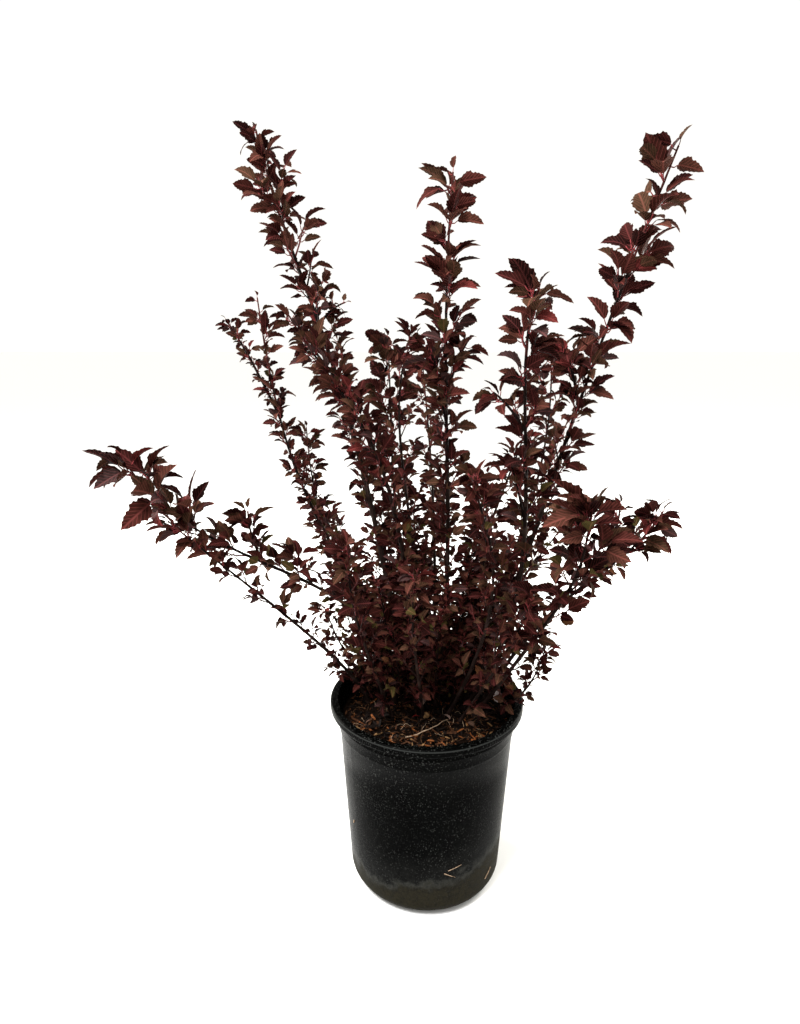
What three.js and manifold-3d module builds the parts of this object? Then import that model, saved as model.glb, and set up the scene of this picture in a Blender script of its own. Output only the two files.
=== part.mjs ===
// A black jack ninebark, a many-stemmed shrub with dark leaves, in its round nursery pot.
// Millimetres, +Z up. The origin is at the centre of the pot's flat underside, and the front is -Y.
import * as THREE from "three";
import { mergeVertices } from "three/addons/utils/BufferGeometryUtils.js";
import Module from "manifold-3d";

const wasm = await Module();
wasm.setup();

// The pot: its driving sizes.
const POT = {
  height: 255,
  rimRadius: 125,
  baseRadius: 100,
  wall: 2.2,
  lipDepth: 11,
  lipOverhang: 8,
  lipRound: 3,
  shoulderBelowRim: 38,
  shoulderStep: 1.6,
  shoulderRise: 3,
  cornerRadius: 18,
  cornerSteps: 4,
  sides: 28,
  drains: 4,
  drainRadius: 6,
  drainSides: 6,
  drainDepth: 16,
};

// The potting mix fills the pot up to here.
const SOIL_TOP = POT.height - 28;
const SOIL_SIDES = 24;

// Faces that meet keep this much clear of each other.
const GAP = 0.3;

// Each cane: its radius at the foot, the longest of its side twigs, the length of its leaves,
// its foot on the soil, and the points at one third and two thirds of its way and at its tip.
const CANES = {
  left_arching: [4.2, 36, 50, [-62, 20], [-100, 5, 375], [-225, -35, 462], [-335, -70, 580]],
  left_low: [3.6, 20, 34, [-78, 28], [-125, 5, 310], [-210, -45, 420], [-290, -75, 510]],
  left_slim: [4, 16, 34, [-42, 26], [-114, 60, 416], [-170, 70, 540], [-215, 100, 755]],
  left_slim_inner: [3.2, 26, 36, [-38, 52], [-110, 90, 370], [-150, 125, 480], [-165, 145, 585]],
  left_tall: [5, 58, 42, [-24, 34], [-95, 65, 590], [-160, 105, 785], [-210, 120, 950]],
  left_inner: [3.8, 22, 36, [-14, 12], [-40, -15, 500], [-90, -5, 625], [-165, 15, 735]],
  left_sprig: [2.4, 14, 32, [-66, 56], [-110, 60, 285], [-130, 80, 315], [-145, 90, 345]],
  centre_left: [3.4, 42, 44, [-4, 52], [-35, 60, 420], [-45, 80, 565], [-50, 90, 705]],
  centre_inner: [3.4, 42, 44, [6, 34], [-15, 20, 435], [-35, 30, 600], [-15, 30, 710]],
  centre_tall: [4.8, 44, 48, [14, 14], [25, 10, 460], [20, 20, 655], [25, 35, 885]],
  mid_right: [2.8, 34, 40, [34, 16], [65, 15, 370], [72, 15, 455], [72, 10, 545]],
  right_inner: [3.4, 44, 48, [46, 44], [115, 50, 430], [150, 60, 570], [155, 80, 700]],
  right_mid: [4.4, 42, 52, [48, 8], [105, -50, 430], [95, -95, 615], [95, -130, 750]],
  right_tall: [5, 36, 54, [52, 24], [120, -5, 445], [165, -10, 610], [250, -30, 895]],
  right_front: [3.6, 46, 56, [62, -10], [130, -90, 395], [145, -150, 480], [145, -180, 550]],
  right_low: [3.6, 22, 44, [72, 14], [140, -50, 385], [200, -80, 460], [240, -110, 530]],
  rim_sprig: [2.4, 14, 32, [84, -4], [113, -35, 270], [130, -52, 312], [140, -60, 360]],
  front_centre: [3, 36, 46, [28, -6], [70, -70, 410], [55, -120, 515], [40, -145, 575]],
  front_left: [2.6, 34, 40, [-44, -12], [-75, -45, 340], [-90, -70, 420], [-90, -85, 490]],
  front_low: [2.6, 34, 42, [-4, -14], [-15, -55, 330], [-20, -80, 400], [-15, -95, 460]],
  front_right: [2.6, 34, 44, [42, -22], [80, -70, 330], [95, -105, 390], [105, -130, 440]],
  back_left: [3.6, 44, 48, [-22, 58], [-60, 120, 400], [-90, 180, 520], [-120, 240, 630]],
  back_centre: [3.8, 44, 48, [12, 60], [15, 130, 420], [10, 200, 550], [0, 260, 670]],
  back_right: [3.6, 38, 46, [32, 60], [80, 130, 400], [130, 180, 520], [170, 230, 620]],
  back_low_left: [3, 36, 46, [-48, 66], [-95, 130, 340], [-130, 190, 400], [-160, 250, 450]],
  back_low_right: [3, 36, 46, [62, 54], [120, 110, 340], [180, 160, 400], [230, 210, 450]],
  back_arching: [3.4, 36, 50, [-2, 72], [10, 160, 350], [20, 240, 410], [40, 320, 470]],
};

// Each fork: the cane that it leaves, how far along that is, and its tip.
const FORKS = [
  ["left_slim", 0.8, [-255, 95, 728]],
  ["left_arching", 0.46, [-162, 0, 454]],
  ["left_arching", 0.6, [-212, -30, 510]],
  ["left_tall", 0.42, [-158, 60, 708]],
  ["left_tall", 0.54, [-102, 75, 748]],
  ["centre_tall", 0.58, [2, 5, 690]],
  ["centre_tall", 0.64, [46, 30, 702]],
  ["right_mid", 0.46, [82, -75, 582]],
  ["right_mid", 0.66, [60, -100, 652]],
  ["right_tall", 0.7, [145, -15, 700]],
  ["right_low", 0.6, [205, -80, 530]],
];

// A cane flares at its foot, tapers to its tip, and is bare up to where its leaves begin.
const CANE = { sides: 5, rings: 4, flare: 0.5, flareHeight: 9, taper: 0.68, bareShare: 0.2 };

// The growth of a mass: leaves and then twigs with leaves follow each other down round the stem.
// The two steps along it are in leaf lengths. Leans and turns are in degrees.
const GROWTH = {
  stemSides: 3,
  ringLength: 135,
  twigsUpTo: 0.62,
  clusterStep: 2.15,
  leafStep: 0.53,
  leafLean: 70,
  droop: 0.2,
  leastRoll: 20,
  mostRoll: 60,
  firstStep: 26,
  turn: 137.5,
  turnJitter: 40,
  twigLean: 56,
  twigLeast: 0.7,
  twigRange: 0.6,
  twigRise: 0.3,
  twigRadius: 2,
  leafLeast: 0.85,
  leafRange: 0.3,
  sideLeafLean: 58,
  endLeafLean: 12,
  lowerLeafAt: 0.42,
  upperLeafAt: 0.68,
  forkRadius: 2,
  forkTaper: 0.45,
  forkBow: 0.16,
  forkSpread: 0.4,
  forkLeafShare: 0.92,
  shortestTwig: 12,
  leavesAtTip: 3,
  tipLeafStep: 7,
  topLeafShare: 0.55,
};

// A leaf is a flat kite of eight faces: thickest near its root, widest past its middle.
const LEAF = { width: 0.76, widestAt: 0.56, thick: 2, thickestAt: 0.2, sunk: 0.6 };

// Two solids of different nodes may come no nearer than this where twigs and leaves pass each other.
const CLEARANCE = 0.5;

const COLOURS = {
  pot: { color: 0x17181a, roughness: 0.38, metalness: 0 },
  soil: { color: 0x33241a, roughness: 0.95, metalness: 0 },
  cane: { color: 0x3a2620, roughness: 0.7, metalness: 0 },
  leaves: { color: 0x3f2a2c, roughness: 0.5, metalness: 0 },
};

const FULL_TURN = Math.PI * 2;
const UP = new THREE.Vector3(0, 0, 1);
const SIDE_REFERENCE = new THREE.Vector3(0, 1, 0);

// Repeatable noise from 0 to 1, from three whole numbers.
function noise(a, b, c) {
  const wave = Math.sin(a * 12.9898 + b * 78.233 + c * 37.719) * 43758.5453;
  return wave - Math.floor(wave);
}

// A closed three.js geometry as a boolean solid.
function toSolid(geometry) {
  const bare = geometry.clone();
  bare.deleteAttribute("normal");
  bare.deleteAttribute("uv");
  const merged = mergeVertices(bare, 1e-4);
  const corners = merged.index.array;
  const kept = [];
  for (let i = 0; i < corners.length; i += 3) {
    const [a, b, c] = [corners[i], corners[i + 1], corners[i + 2]];
    if (a !== b && b !== c && c !== a) kept.push(a, b, c);
  }
  const vertProperties = new Float32Array(merged.attributes.position.array);
  const mesh = new wasm.Mesh({ numProp: 3, vertProperties, triVerts: new Uint32Array(kept) });
  return new wasm.Manifold(mesh);
}

// A boolean solid as a three.js geometry.
function toGeometry(solid) {
  const mesh = solid.getMesh();
  const geometry = new THREE.BufferGeometry();
  geometry.setAttribute("position", new THREE.BufferAttribute(mesh.vertProperties, 3));
  geometry.setIndex(new THREE.BufferAttribute(mesh.triVerts, 1));
  geometry.computeVertexNormals();
  return geometry;
}

// The curve of a cane through its foot, its two waist points and its tip.
class CaneCurve extends THREE.Curve {
  constructor(foot, lower, upper, tip) {
    super();
    this.points = [[foot[0], foot[1], SOIL_TOP + GAP], lower, upper, tip];
  }

  getPoint(t, target = new THREE.Vector3()) {
    const weights = [
      -4.5 * (t - 1 / 3) * (t - 2 / 3) * (t - 1),
      13.5 * t * (t - 2 / 3) * (t - 1),
      -13.5 * t * (t - 1 / 3) * (t - 1),
      4.5 * t * (t - 1 / 3) * (t - 2 / 3),
    ];
    target.set(0, 0, 0);
    this.points.forEach((point, i) => {
      target.addScaledVector(new THREE.Vector3(...point), weights[i]);
    });
    return target;
  }
}

// The curve of a fork: it leaves along its cane and bows up to its tip.
function forkCurve(start, along, tip) {
  const reach = start.distanceTo(tip);
  const middle = start.clone().lerp(tip, 0.5).addScaledVector(along, reach * GROWTH.forkBow);
  return new THREE.QuadraticBezierCurve3(start, middle, tip);
}

// Two directions square to a curve's direction at t, and that direction.
function frameAt(curve, t) {
  const along = curve.getTangent(t);
  const across = new THREE.Vector3().crossVectors(along, SIDE_REFERENCE).normalize();
  const over = new THREE.Vector3().crossVectors(across, along).normalize();
  return { point: curve.getPoint(t), along, across, over };
}

// A tapering limb: a cylinder bent along the curve from one place on it to another.
function limb(curve, from, to, radiusAt, sides, rings) {
  const geometry = new THREE.CylinderGeometry(1, 1, 1, sides, rings);
  const position = geometry.attributes.position;
  for (let i = 0; i < position.count; i += 1) {
    const t = from + (to - from) * (position.getY(i) + 0.5);
    const { point, across, over } = frameAt(curve, t);
    const radius = radiusAt(t);
    point.addScaledVector(across, position.getX(i) * radius);
    point.addScaledVector(over, position.getZ(i) * radius);
    position.setXYZ(i, point.x, point.y, point.z);
  }
  return geometry;
}

// A cane's radius along its length, with the flare at its foot.
function caneRadius(curve, footRadius) {
  return (t) => {
    const rise = (curve.getPoint(t).z - SOIL_TOP) / CANE.flareHeight;
    const flare = CANE.flare * Math.exp(-rise * rise);
    return footRadius * (1 - CANE.taper * t + flare);
  };
}

// The foot ring is moved onto the soil's plane, so that the cane is cut flat there.
function flattenFoot(geometry, curve) {
  const position = geometry.attributes.position;
  const along = curve.getTangent(0);
  const foot = SOIL_TOP + GAP;
  const ringStep = 0.5 * (curve.getPoint(CANE.bareShare / CANE.rings).z - foot);
  for (let i = 0; i < position.count; i += 1) {
    const off = foot - position.getZ(i);
    if (off > -ringStep) {
      position.setX(i, position.getX(i) + (along.x / along.z) * off);
      position.setY(i, position.getY(i) + (along.y / along.z) * off);
      position.setZ(i, foot);
    }
  }
  return geometry;
}

// A leaf from its root, pointing along a direction, with its flat side towards the normal.
function leaf(root, direction, normal, length, grow) {
  const geometry = new THREE.OctahedronGeometry(1);
  geometry.scale((length * LEAF.width) / 2 + grow, length / 2 + grow, LEAF.thick / 2 + grow);
  const position = geometry.attributes.position;
  for (let i = 0; i < position.count; i += 1) {
    const onEdge = Math.abs(position.getX(i)) > 1e-3;
    const onFace = Math.abs(position.getZ(i)) > 1e-3;
    if (onEdge) position.setY(i, length * (LEAF.widestAt - 0.5));
    if (onFace) position.setY(i, length * (LEAF.thickestAt - 0.5));
  }
  geometry.translate(0, length / 2 - LEAF.sunk, 0);
  return place(geometry, root, direction, normal);
}

// A side twig: a three-sided prism from inside the stem out to its tip.
function twig(root, direction, normal, length, radius, grow) {
  const corners = [];
  for (let i = 0; i < 3; i += 1) {
    const angle = FULL_TURN * (i / 3);
    corners.push(new THREE.Vector2(Math.sin(angle), Math.cos(angle)).multiplyScalar(radius + grow));
  }
  const section = new THREE.Shape(corners);
  const geometry = new THREE.ExtrudeGeometry(section, { depth: length + grow, bevelEnabled: false });
  geometry.rotateX(-Math.PI / 2);
  return place(geometry, root, direction, normal);
}

// Turns a geometry so that its Y runs along the direction and its Z towards the normal.
function place(geometry, root, direction, normal) {
  const across = new THREE.Vector3().crossVectors(direction, normal).normalize();
  const facing = new THREE.Vector3().crossVectors(across, direction).normalize();
  const turned = new THREE.Matrix4().makeBasis(across, direction, facing);
  return geometry.applyMatrix4(turned.setPosition(root));
}

// All the loose pieces, kept by node, so that each node can be told clear of the others.
const pieces = [];

function bounds(solid) {
  const box = solid.boundingBox();
  return new THREE.Box3(new THREE.Vector3(...box.min), new THREE.Vector3(...box.max));
}

function keep(node, solid) {
  pieces.push({ node, solid, box: bounds(solid) });
}

// A piece is clear when nothing of another node touches its slightly larger copy.
function isClear(node, larger) {
  const box = bounds(larger);
  const near = pieces.filter((piece) => piece.node !== node && piece.box.intersectsBox(box));
  return near.every((piece) => larger.intersect(piece.solid).isEmpty());
}

// Adds a piece to its node if its slightly larger copy is clear of all other nodes.
function growPiece(node, make) {
  if (!isClear(node, toSolid(make(CLEARANCE)))) return false;
  keep(node, toSolid(make(0)));
  return true;
}

// A unit direction turned from one axis towards another.
function lean(axis, towards, degrees) {
  const angle = THREE.MathUtils.degToRad(degrees);
  const turned = axis.clone().multiplyScalar(Math.cos(angle));
  return turned.addScaledVector(towards, Math.sin(angle)).normalize();
}

// The way a leaf's face looks: mostly up, rolled a little to one side.
function leafNormal(direction, roll) {
  const across = new THREE.Vector3().crossVectors(direction, UP).normalize();
  const facing = new THREE.Vector3().crossVectors(across, direction).normalize();
  return lean(facing, across, roll);
}

// How far a leaf is rolled to one side or, on every other step, to the other.
function rollOf(seed, step) {
  const roll = GROWTH.leastRoll + (GROWTH.mostRoll - GROWTH.leastRoll) * noise(seed, step, 4);
  return step % 2 === 0 ? roll : -roll;
}

// A leaf droops a little below the way that it sets out.
function growLeaf(node, root, setOut, roll, length) {
  const direction = setOut.clone().addScaledVector(UP, -GROWTH.droop).normalize();
  const normal = leafNormal(direction, roll);
  return growPiece(node, (grow) => leaf(root, direction, normal, length, grow));
}

// How many straight lengths a shoot's stem is made of.
function ringsOf(shoot) {
  const length = shoot.curve.getLength() * (1 - shoot.from);
  return Math.max(2, Math.round(length / GROWTH.ringLength));
}

// The frame at t with its point on the middle of the stem's straight length there.
function stemFrame(shoot, t) {
  const rings = ringsOf(shoot);
  const place = ((t - shoot.from) / (1 - shoot.from)) * rings;
  const ring = Math.min(Math.floor(place), rings - 1);
  const ringPoint = (i) => shoot.curve.getPoint(shoot.from + ((1 - shoot.from) * i) / rings);
  const point = ringPoint(ring).lerp(ringPoint(ring + 1), place - ring);
  return { ...frameAt(shoot.curve, t), point };
}

// One leaf straight on the stem, near its top.
function growStemLeaf(node, shoot, t, seed, step) {
  const { point, along, across, over } = stemFrame(shoot, t);
  const turn = GROWTH.turn * step + GROWTH.turnJitter * (noise(seed, step, 1) - 0.5);
  const size = shoot.leafLength * (GROWTH.leafLeast + GROWTH.leafRange * noise(seed, step, 3));
  const roll = rollOf(seed, step);
  growLeaf(node, point, lean(along, lean(across, over, turn), GROWTH.leafLean), roll, size);
}

// One cluster: a side twig with a leaf at its tip and one on each side.
function growCluster(node, shoot, t, seed, step) {
  const { point, along, across, over } = stemFrame(shoot, t);
  const turn = GROWTH.turn * step + GROWTH.turnJitter * (noise(seed, step, 1) - 0.5);
  const out = lean(across, over, turn);
  const direction = lean(along, out, GROWTH.twigLean).addScaledVector(UP, GROWTH.twigRise).normalize();
  const share = (t - shoot.from) / (1 - shoot.from);
  const vary = GROWTH.twigLeast + GROWTH.twigRange * noise(seed, step, 2);
  const length = GROWTH.shortestTwig + shoot.spread * (1 - share) * vary;
  const normal = leafNormal(direction, 0);
  const radius = Math.min(GROWTH.twigRadius, shoot.radiusAt(t));
  const grown = growPiece(node, (grow) => twig(point, direction, normal, length, radius, grow));
  if (!grown) return;
  const size = shoot.leafLength * (GROWTH.leafLeast + GROWTH.leafRange * noise(seed, step, 3));
  const end = point.clone().addScaledVector(direction, length);
  const lower = point.clone().addScaledVector(direction, length * GROWTH.lowerLeafAt);
  const upper = point.clone().addScaledVector(direction, length * GROWTH.upperLeafAt);
  const sideways = new THREE.Vector3().crossVectors(direction, normal).normalize();
  const roll = rollOf(seed, step);
  growLeaf(node, end, lean(direction, out, GROWTH.endLeafLean), roll, size);
  growLeaf(node, lower, lean(direction, sideways, GROWTH.sideLeafLean), roll, size);
  growLeaf(node, upper, lean(direction, sideways, -GROWTH.sideLeafLean), -roll, size);
}

// The leaves at a shoot's tip: one straight on and the others spread round it.
function growTip(node, shoot, seed) {
  const { point, along, across, over } = stemFrame(shoot, 1);
  growLeaf(node, point, along, GROWTH.leastRoll, shoot.leafLength * GROWTH.topLeafShare);
  const length = shoot.curve.getLength();
  for (let i = 0; i < GROWTH.leavesAtTip; i += 1) {
    const root = stemFrame(shoot, 1 - (GROWTH.tipLeafStep * (i + 1)) / length).point;
    const turn = (360 / GROWTH.leavesAtTip) * i + GROWTH.turnJitter * noise(seed, i, 5);
    const setOut = lean(along, lean(across, over, turn), GROWTH.leafLean);
    growLeaf(node, root, setOut, rollOf(seed, i), shoot.leafLength);
  }
}

// Every shoot of a cane: its own stem first, then its forks.
function shootsOf(name, cane) {
  const [footRadius, spread, leafLength, foot, ...points] = cane;
  const curve = new CaneCurve(foot, ...points);
  const stem = { curve, from: CANE.bareShare, radiusAt: caneRadius(curve, footRadius), spread, leafLength };
  const forks = FORKS.filter(([parent]) => parent === name).map(([, at, tip]) => {
    const start = frameAt(curve, at);
    return {
      curve: forkCurve(start.point, start.along, new THREE.Vector3(...tip)),
      from: 0,
      radiusAt: (t) => GROWTH.forkRadius * (1 - GROWTH.forkTaper * t),
      spread: spread * GROWTH.forkSpread,
      leafLength: leafLength * GROWTH.forkLeafShare,
    };
  });
  return [stem, ...forks];
}

// The bare lower part of a cane, cut flat on the soil.
function makeCane(stem) {
  const tube = limb(stem.curve, 0, CANE.bareShare, stem.radiusAt, CANE.sides, CANE.rings);
  return flattenFoot(tube, stem.curve);
}

// The three-sided stems that carry a mass, from just past the cane's end.
function keepStems(node, shoots) {
  shoots.forEach((shoot, i) => {
    const from = i === 0 ? shoot.from + GAP / shoot.curve.getLength() : 0;
    keep(node, toSolid(limb(shoot.curve, from, 1, shoot.radiusAt, GROWTH.stemSides, ringsOf(shoot))));
  });
}

// The places down one shoot where something grows, from its tip: leaves first, then twigs.
function growthPlaces(shoot) {
  const length = shoot.curve.getLength() * (1 - shoot.from);
  const places = [];
  let below = GROWTH.firstStep;
  while (below < length) {
    const share = 1 - below / length;
    const grow = share > GROWTH.twigsUpTo ? growStemLeaf : growCluster;
    places.push({ t: shoot.from + (1 - shoot.from) * share, grow });
    below += (share > GROWTH.twigsUpTo ? GROWTH.leafStep : GROWTH.clusterStep) * shoot.leafLength;
  }
  return places;
}

// A mass's pieces as one solid, without any sealed hollow or loose scrap.
function fuse(node) {
  const own = pieces.filter((piece) => piece.node === node).map((piece) => piece.solid);
  const joined = own.reduce((sum, solid) => sum.add(solid));
  const parts = joined.decompose().sort((a, b) => b.volume() - a.volume());
  return parts[0];
}

// The pot's outline from the middle of its underside, up outside, over the lip and down inside.
function potOutline() {
  const { height, rimRadius, baseRadius, wall, lipDepth, lipRound, lipOverhang, cornerRadius } = POT;
  const bodyTop = rimRadius - lipOverhang;
  const lipFoot = height - lipDepth;
  const slope = (bodyTop - baseRadius) / height;
  const wallRadius = (z) => baseRadius + slope * z;
  const shoulder = height - POT.shoulderBelowRim;
  const outline = [[0, 0]];
  for (let i = 0; i <= POT.cornerSteps; i += 1) {
    const angle = (Math.PI / 2) * (i / POT.cornerSteps);
    const radius = wallRadius(cornerRadius) - cornerRadius * (1 - Math.sin(angle));
    outline.push([radius, cornerRadius * (1 - Math.cos(angle))]);
  }
  outline.push([wallRadius(shoulder) - POT.shoulderStep, shoulder]);
  outline.push([wallRadius(shoulder), shoulder + POT.shoulderRise]);
  outline.push([wallRadius(lipFoot), lipFoot]);
  outline.push([rimRadius - lipRound / 2, lipFoot]);
  outline.push([rimRadius, lipFoot + lipRound]);
  outline.push([rimRadius, height - lipRound]);
  outline.push([rimRadius - lipRound, height]);
  outline.push([bodyTop - wall + lipRound / 2, height]);
  outline.push([bodyTop - wall, height - lipRound / 2]);
  outline.push([wallRadius(shoulder) - POT.shoulderStep - wall, shoulder]);
  outline.push([wallRadius(cornerRadius) - wall, cornerRadius]);
  outline.push([wallRadius(cornerRadius) - cornerRadius / 2, cornerRadius / 4]);
  outline.push([wallRadius(cornerRadius) - cornerRadius, wall]);
  outline.push([0, wall]);
  return outline;
}

// The inside of the pot up to the soil's surface, a gap clear of the wall.
function soilOutline(pot) {
  const inner = pot.slice(-5, -1).reverse();
  const [below, above] = [inner[2], inner[3]];
  const share = (SOIL_TOP - below[1]) / (above[1] - below[1]);
  const topRadius = below[0] + (above[0] - below[0]) * share;
  const clear = GAP * 1.6;
  const facet = 1 / Math.cos(Math.PI / SOIL_SIDES);
  const outline = [[0, inner[0][1] + clear]];
  inner.slice(0, 3).forEach(([radius, z]) => outline.push([(radius - clear) / facet, z + clear]));
  outline.push([(topRadius - clear) / facet, SOIL_TOP]);
  outline.push([0, SOIL_TOP]);
  return outline;
}

function revolve(outline, sides) {
  const points = outline.map(([radius, z]) => new THREE.Vector2(radius, z));
  const geometry = new THREE.LatheGeometry(points, sides);
  return geometry.rotateX(Math.PI / 2);
}

// The drain holes through the corner of the base.
function drilled(solid) {
  const { drains, drainRadius, drainSides, drainDepth, baseRadius, cornerRadius } = POT;
  const inset = cornerRadius * (1 - Math.SQRT1_2);
  let pot = solid;
  for (let i = 0; i < drains; i += 1) {
    const drill = new THREE.CylinderGeometry(drainRadius, drainRadius, drainDepth, drainSides);
    drill.rotateZ(Math.PI / 2);
    drill.rotateY(Math.PI / 4);
    drill.translate(baseRadius - inset, 0, inset);
    drill.rotateZ(FULL_TURN * ((i + 0.5) / drains));
    pot = pot.subtract(toSolid(drill));
  }
  return pot;
}

function finish(name, kind, geometry) {
  const mesh = new THREE.Mesh(geometry, new THREE.MeshStandardMaterial(COLOURS[kind]));
  mesh.name = name;
  return mesh;
}

const shrub = new THREE.Group();
const outline = potOutline();
const potSolid = drilled(toSolid(revolve(outline, POT.sides)));
const soilSolid = toSolid(revolve(soilOutline(outline), SOIL_SIDES));
keep("pot", potSolid);
keep("soil", soilSolid);
shrub.add(finish("pot", "pot", toGeometry(potSolid)));
shrub.add(finish("soil", "soil", toGeometry(soilSolid)));

const names = Object.keys(CANES);
const shoots = new Map(names.map((name) => [name, shootsOf(name, CANES[name])]));

for (const name of names) {
  const cane = makeCane(shoots.get(name)[0]);
  keep(`cane_${name}`, toSolid(cane));
  shrub.add(finish(`cane_${name}`, "cane", cane));
  keepStems(`leaves_${name}`, shoots.get(name));
}

// The tips come first, as they make the crown's outline, and then each cane in turn gets a cluster.
names.forEach((name, seed) => {
  shoots.get(name).forEach((shoot, i) => growTip(`leaves_${name}`, shoot, seed + i * 100));
});

const rows = names.map((name) => shoots.get(name).map((shoot) => growthPlaces(shoot)));
const longest = Math.max(...rows.flat().map((row) => row.length));
for (let step = 0; step < longest; step += 1) {
  names.forEach((name, seed) => {
    shoots.get(name).forEach((shoot, i) => {
      const place = rows[seed][i][step];
      if (place) place.grow(`leaves_${name}`, shoot, place.t, seed + i * 100, step);
    });
  });
}

for (const name of names) {
  shrub.add(finish(`leaves_${name}`, "leaves", toGeometry(fuse(`leaves_${name}`))));
}

export default shrub;
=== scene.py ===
"""The looks of a black jack ninebark in its round nursery pot.

Metres, +Z up. The origin is at the centre of the pot's flat underside, and the front is -Y.
"""

import math

import bpy
import numpy as np
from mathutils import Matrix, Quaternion, Vector
from mathutils.geometry import delaunay_2d_cdt


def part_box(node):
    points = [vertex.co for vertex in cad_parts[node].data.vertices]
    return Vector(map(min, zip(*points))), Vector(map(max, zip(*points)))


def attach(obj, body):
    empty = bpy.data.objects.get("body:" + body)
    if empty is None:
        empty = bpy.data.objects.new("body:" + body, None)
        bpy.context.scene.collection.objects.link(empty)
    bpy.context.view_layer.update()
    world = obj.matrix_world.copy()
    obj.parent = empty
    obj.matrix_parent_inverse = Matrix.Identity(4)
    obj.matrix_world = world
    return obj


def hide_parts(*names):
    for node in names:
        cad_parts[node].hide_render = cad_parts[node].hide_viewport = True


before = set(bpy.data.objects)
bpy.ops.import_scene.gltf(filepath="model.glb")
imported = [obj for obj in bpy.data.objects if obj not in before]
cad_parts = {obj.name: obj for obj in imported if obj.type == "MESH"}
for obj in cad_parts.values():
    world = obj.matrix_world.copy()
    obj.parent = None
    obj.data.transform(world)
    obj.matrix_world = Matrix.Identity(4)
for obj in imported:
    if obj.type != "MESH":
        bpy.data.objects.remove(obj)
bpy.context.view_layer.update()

MM = 0.001
UP = Vector((0, 0, 1))
SIDE_REFERENCE = Vector((0, 1, 0))
GOLDEN_TURN = math.radians(137.5)

# Sizes that the frame gives.
POT_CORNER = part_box("pot")[1]
POT_HEIGHT = POT_CORNER.z
RIM_RADIUS = POT_CORNER.x
SOIL_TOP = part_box("soil")[1].z

# The camera that the photograph was taken with.
CAMERA_PLACE = Vector((-0.0344, -0.7762, 0.703))
CAMERA_PITCH = math.radians(14.6)
LENS_MM = 23.2

# Each cane, in millimetres: its radius at the foot, the longest of its side twigs, the length of its
# leaves, its foot on the soil, and the points at one third and two thirds of its way and at its tip.
CANES = {
    "left_arching": [4.2, 36, 50, (-62, 20), (-100, 5, 375), (-225, -35, 462), (-335, -70, 580)],
    "left_low": [3.6, 20, 34, (-78, 28), (-125, 5, 310), (-210, -45, 420), (-290, -75, 510)],
    "left_slim": [4, 16, 34, (-42, 26), (-114, 60, 416), (-170, 70, 540), (-215, 100, 755)],
    "left_slim_inner": [3.2, 26, 36, (-38, 52), (-110, 90, 370), (-150, 125, 480), (-165, 145, 585)],
    "left_tall": [5, 58, 42, (-24, 34), (-95, 65, 590), (-160, 105, 785), (-210, 120, 950)],
    "left_inner": [3.8, 22, 36, (-14, 12), (-40, -15, 500), (-90, -5, 625), (-165, 15, 735)],
    "left_sprig": [2.4, 14, 32, (-66, 56), (-110, 60, 285), (-130, 80, 315), (-145, 90, 345)],
    "centre_left": [3.4, 42, 44, (-4, 52), (-35, 60, 420), (-45, 80, 565), (-50, 90, 705)],
    "centre_inner": [3.4, 42, 44, (6, 34), (-15, 20, 435), (-35, 30, 600), (-15, 30, 710)],
    "centre_tall": [4.8, 44, 48, (14, 14), (25, 10, 460), (20, 20, 655), (25, 35, 885)],
    "mid_right": [2.8, 34, 40, (34, 16), (65, 15, 370), (72, 15, 455), (72, 10, 545)],
    "right_inner": [3.4, 44, 48, (46, 44), (115, 50, 430), (150, 60, 570), (155, 80, 700)],
    "right_mid": [4.4, 42, 52, (48, 8), (105, -50, 430), (95, -95, 615), (95, -130, 750)],
    "right_tall": [5, 36, 54, (52, 24), (120, -5, 445), (165, -10, 610), (250, -30, 895)],
    "right_front": [3.6, 46, 56, (62, -10), (130, -90, 395), (145, -150, 480), (145, -180, 550)],
    "right_low": [3.6, 22, 44, (72, 14), (140, -50, 385), (200, -80, 460), (240, -110, 530)],
    "rim_sprig": [2.4, 14, 32, (84, -4), (113, -35, 270), (130, -52, 312), (140, -60, 360)],
    "front_centre": [3, 36, 46, (28, -6), (70, -70, 410), (55, -120, 515), (40, -145, 575)],
    "front_left": [2.6, 34, 40, (-44, -12), (-75, -45, 340), (-90, -70, 420), (-90, -85, 490)],
    "front_low": [2.6, 34, 42, (-4, -14), (-15, -55, 330), (-20, -80, 400), (-15, -95, 460)],
    "front_right": [2.6, 34, 44, (42, -22), (80, -70, 330), (95, -105, 390), (105, -130, 440)],
    "back_left": [3.6, 44, 48, (-22, 58), (-60, 120, 400), (-90, 180, 520), (-120, 240, 630)],
    "back_centre": [3.8, 44, 48, (12, 60), (15, 130, 420), (10, 200, 550), (0, 260, 670)],
    "back_right": [3.6, 38, 46, (32, 60), (80, 130, 400), (130, 180, 520), (170, 230, 620)],
    "back_low_left": [3, 36, 46, (-48, 66), (-95, 130, 340), (-130, 190, 400), (-160, 250, 450)],
    "back_low_right": [3, 36, 46, (62, 54), (120, 110, 340), (180, 160, 400), (230, 210, 450)],
    "back_arching": [3.4, 36, 50, (-2, 72), (10, 160, 350), (20, 240, 410), (40, 320, 470)],
}

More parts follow.
